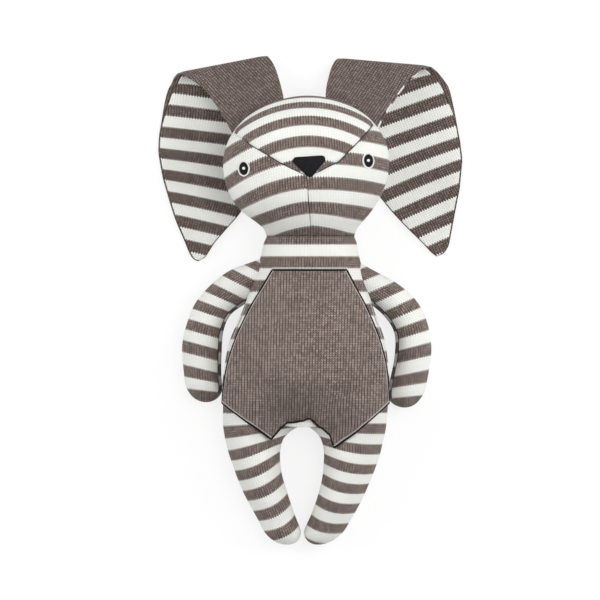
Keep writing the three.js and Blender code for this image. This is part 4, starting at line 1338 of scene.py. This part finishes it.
def makeEar(name):
    own = ears[name]
    places = np.linspace(own["outer"][0][0], own["outer"][-1][0], 400)
    widths = smoothThrough(own["outer"], places) - smoothThrough(own["inner"], places)
    length = places[-1] - places[0]
    area = float(widths.mean() * length) * millimetre ** 2
    flat = (float(widths.max()) * millimetre, length * millimetre)
    for label, node, layer, tuck, material, slotName in (
            ("Outer", "outer", 1, 0.0, earKnit, "taupe_knit"),
            ("Lining", "lining", -1, earLeaf["tuck"], shadedLiningKnit, "striped_knit")):
        points, axis, sideways = earPoints(own, layer, tuck)
        course = (axis - own["firstBrown"]) / own["pair"] * pairCourses
        knit = np.stack([sideways / waleWidth, course], -1)
        turned = (own["side"] > 0) == (layer > 0)
        piece = gridPiece(f"{name}Ear{label}", points, knit, material, turned=turned)
        thicken(piece, earLeaf["thick"], 0)
        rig.replaces(piece, f"{name}_ear_{node}")
        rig.slot(piece, slotName)
        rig.sheet(piece, flat=flat, area=area, held="folded", rests_on=["headBack"])
        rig.blend(piece, "head", f"{name}_ear", **bendBetween(earLeaf["bendFrom"], earLeaf["bendTo"]))


for name in ("left", "right"):
    makeEar(name)
print("ears made")


# stage, light and camera
studio = {
    "floorHalf": 4,
    "floorColour": (0.96, 0.96, 0.96, 1),
    "floorGlow": 0.8,  # how much of the floor's white shows without shadow
    "fill": 0.41,
    "lampSize": 1.0,
    "lamps": {  # place and power
        "keyLamp": ((0.45, 0.15, 1.7), 12),
        "leftLamp": ((1.25, 0.45, 1.0), 11.8),
        "rightLamp": ((-1.25, 0.45, 1.0), 11.4),
    },
}
# the view is this far across at a level above the floor
view = {"middle": (-0.0065, -0.0013), "distance": 12.0, "across": 0.48, "level": 0.03, "sensor": 36}


def seenRays(tree):
    # 1 where the camera sees a surface, directly or in a gloss or glass
    rays = tree.nodes.new("ShaderNodeLightPath").outputs
    bent = doMath(tree, "MAXIMUM", rays["Is Glossy Ray"], rays["Is Transmission Ray"])
    return doMath(tree, "MAXIMUM", rays["Is Camera Ray"], bent)


def mixSurface(tree, factor, first, second, target):
    mix = tree.nodes.new("ShaderNodeMixShader")
    tree.links.new(factor, mix.inputs[0])
    tree.links.new(first.outputs[0], mix.inputs[1])
    tree.links.new(second.outputs[0], mix.inputs[2])
    tree.links.new(mix.outputs[0], tree.nodes[target].inputs["Surface"])


def makeStage():
    floorMesh = bpy.data.meshes.new("floor")
    half = studio["floorHalf"]
    corners = [(-half, -half, 0), (half, -half, 0), (half, half, 0), (-half, half, 0)]
    floorMesh.from_pydata(corners, [], [(0, 1, 2, 3)])
    material = bpy.data.materials.new("paleFloor")
    material.use_nodes = True
    tree = material.node_tree
    tree.nodes.remove(tree.nodes["Principled BSDF"])
    paint = tree.nodes.new("ShaderNodeBsdfDiffuse")
    paint.inputs["Color"].default_value = studio["floorColour"]
    glow = tree.nodes.new("ShaderNodeEmission")
    share = doMath(tree, "MULTIPLY", seenRays(tree), studio["floorGlow"])
    mixSurface(tree, share, paint, glow, "Material Output")
    floorMesh.materials.append(material)
    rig.stage(addObject("floor", floorMesh))


def makeWorld():
    world = bpy.data.worlds.new("studio")
    bpy.context.scene.world = world
    world.use_nodes = True
    tree = world.node_tree
    fill = tree.nodes["Background"]
    fill.inputs["Color"].default_value = (1, 1, 1, 1)
    fill.inputs["Strength"].default_value = studio["fill"]
    white = tree.nodes.new("ShaderNodeBackground")
    white.inputs["Color"].default_value = (1, 1, 1, 1)
    mixSurface(tree, seenRays(tree), fill, white, "World Output")


def makeLamp(name, place, power):
    lamp = bpy.data.lights.new(name, "AREA")
    lamp.shape = "DISK"
    lamp.size = studio["lampSize"]
    lamp.energy = power
    holder = addObject(name, lamp)
    holder.location = place
    holder.rotation_euler = (-holder.location).to_track_quat("-Z", "Y").to_euler()  # faces the toy


def makeCamera():
    camera = bpy.data.cameras.new("camera")
    camera.sensor_width = view["sensor"]
    camera.lens = view["sensor"] * (view["distance"] - view["level"]) / view["across"]
    holder = addObject("camera", camera)
    holder.location = (*view["middle"], view["distance"])
    bpy.context.scene.camera = holder


makeStage()
makeWorld()
for name, (place, power) in studio["lamps"].items():
    makeLamp(name, place, power)
makeCamera()
bpy.context.scene.view_settings.view_transform = "Standard"

with open("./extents.json", "w") as sizes:
    json.dump({"cad": [list(v) for v in cadBox], "visual": [list(v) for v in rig.bounds()]}, sizes)
print("scene made:", len(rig.pieces()), "pieces")
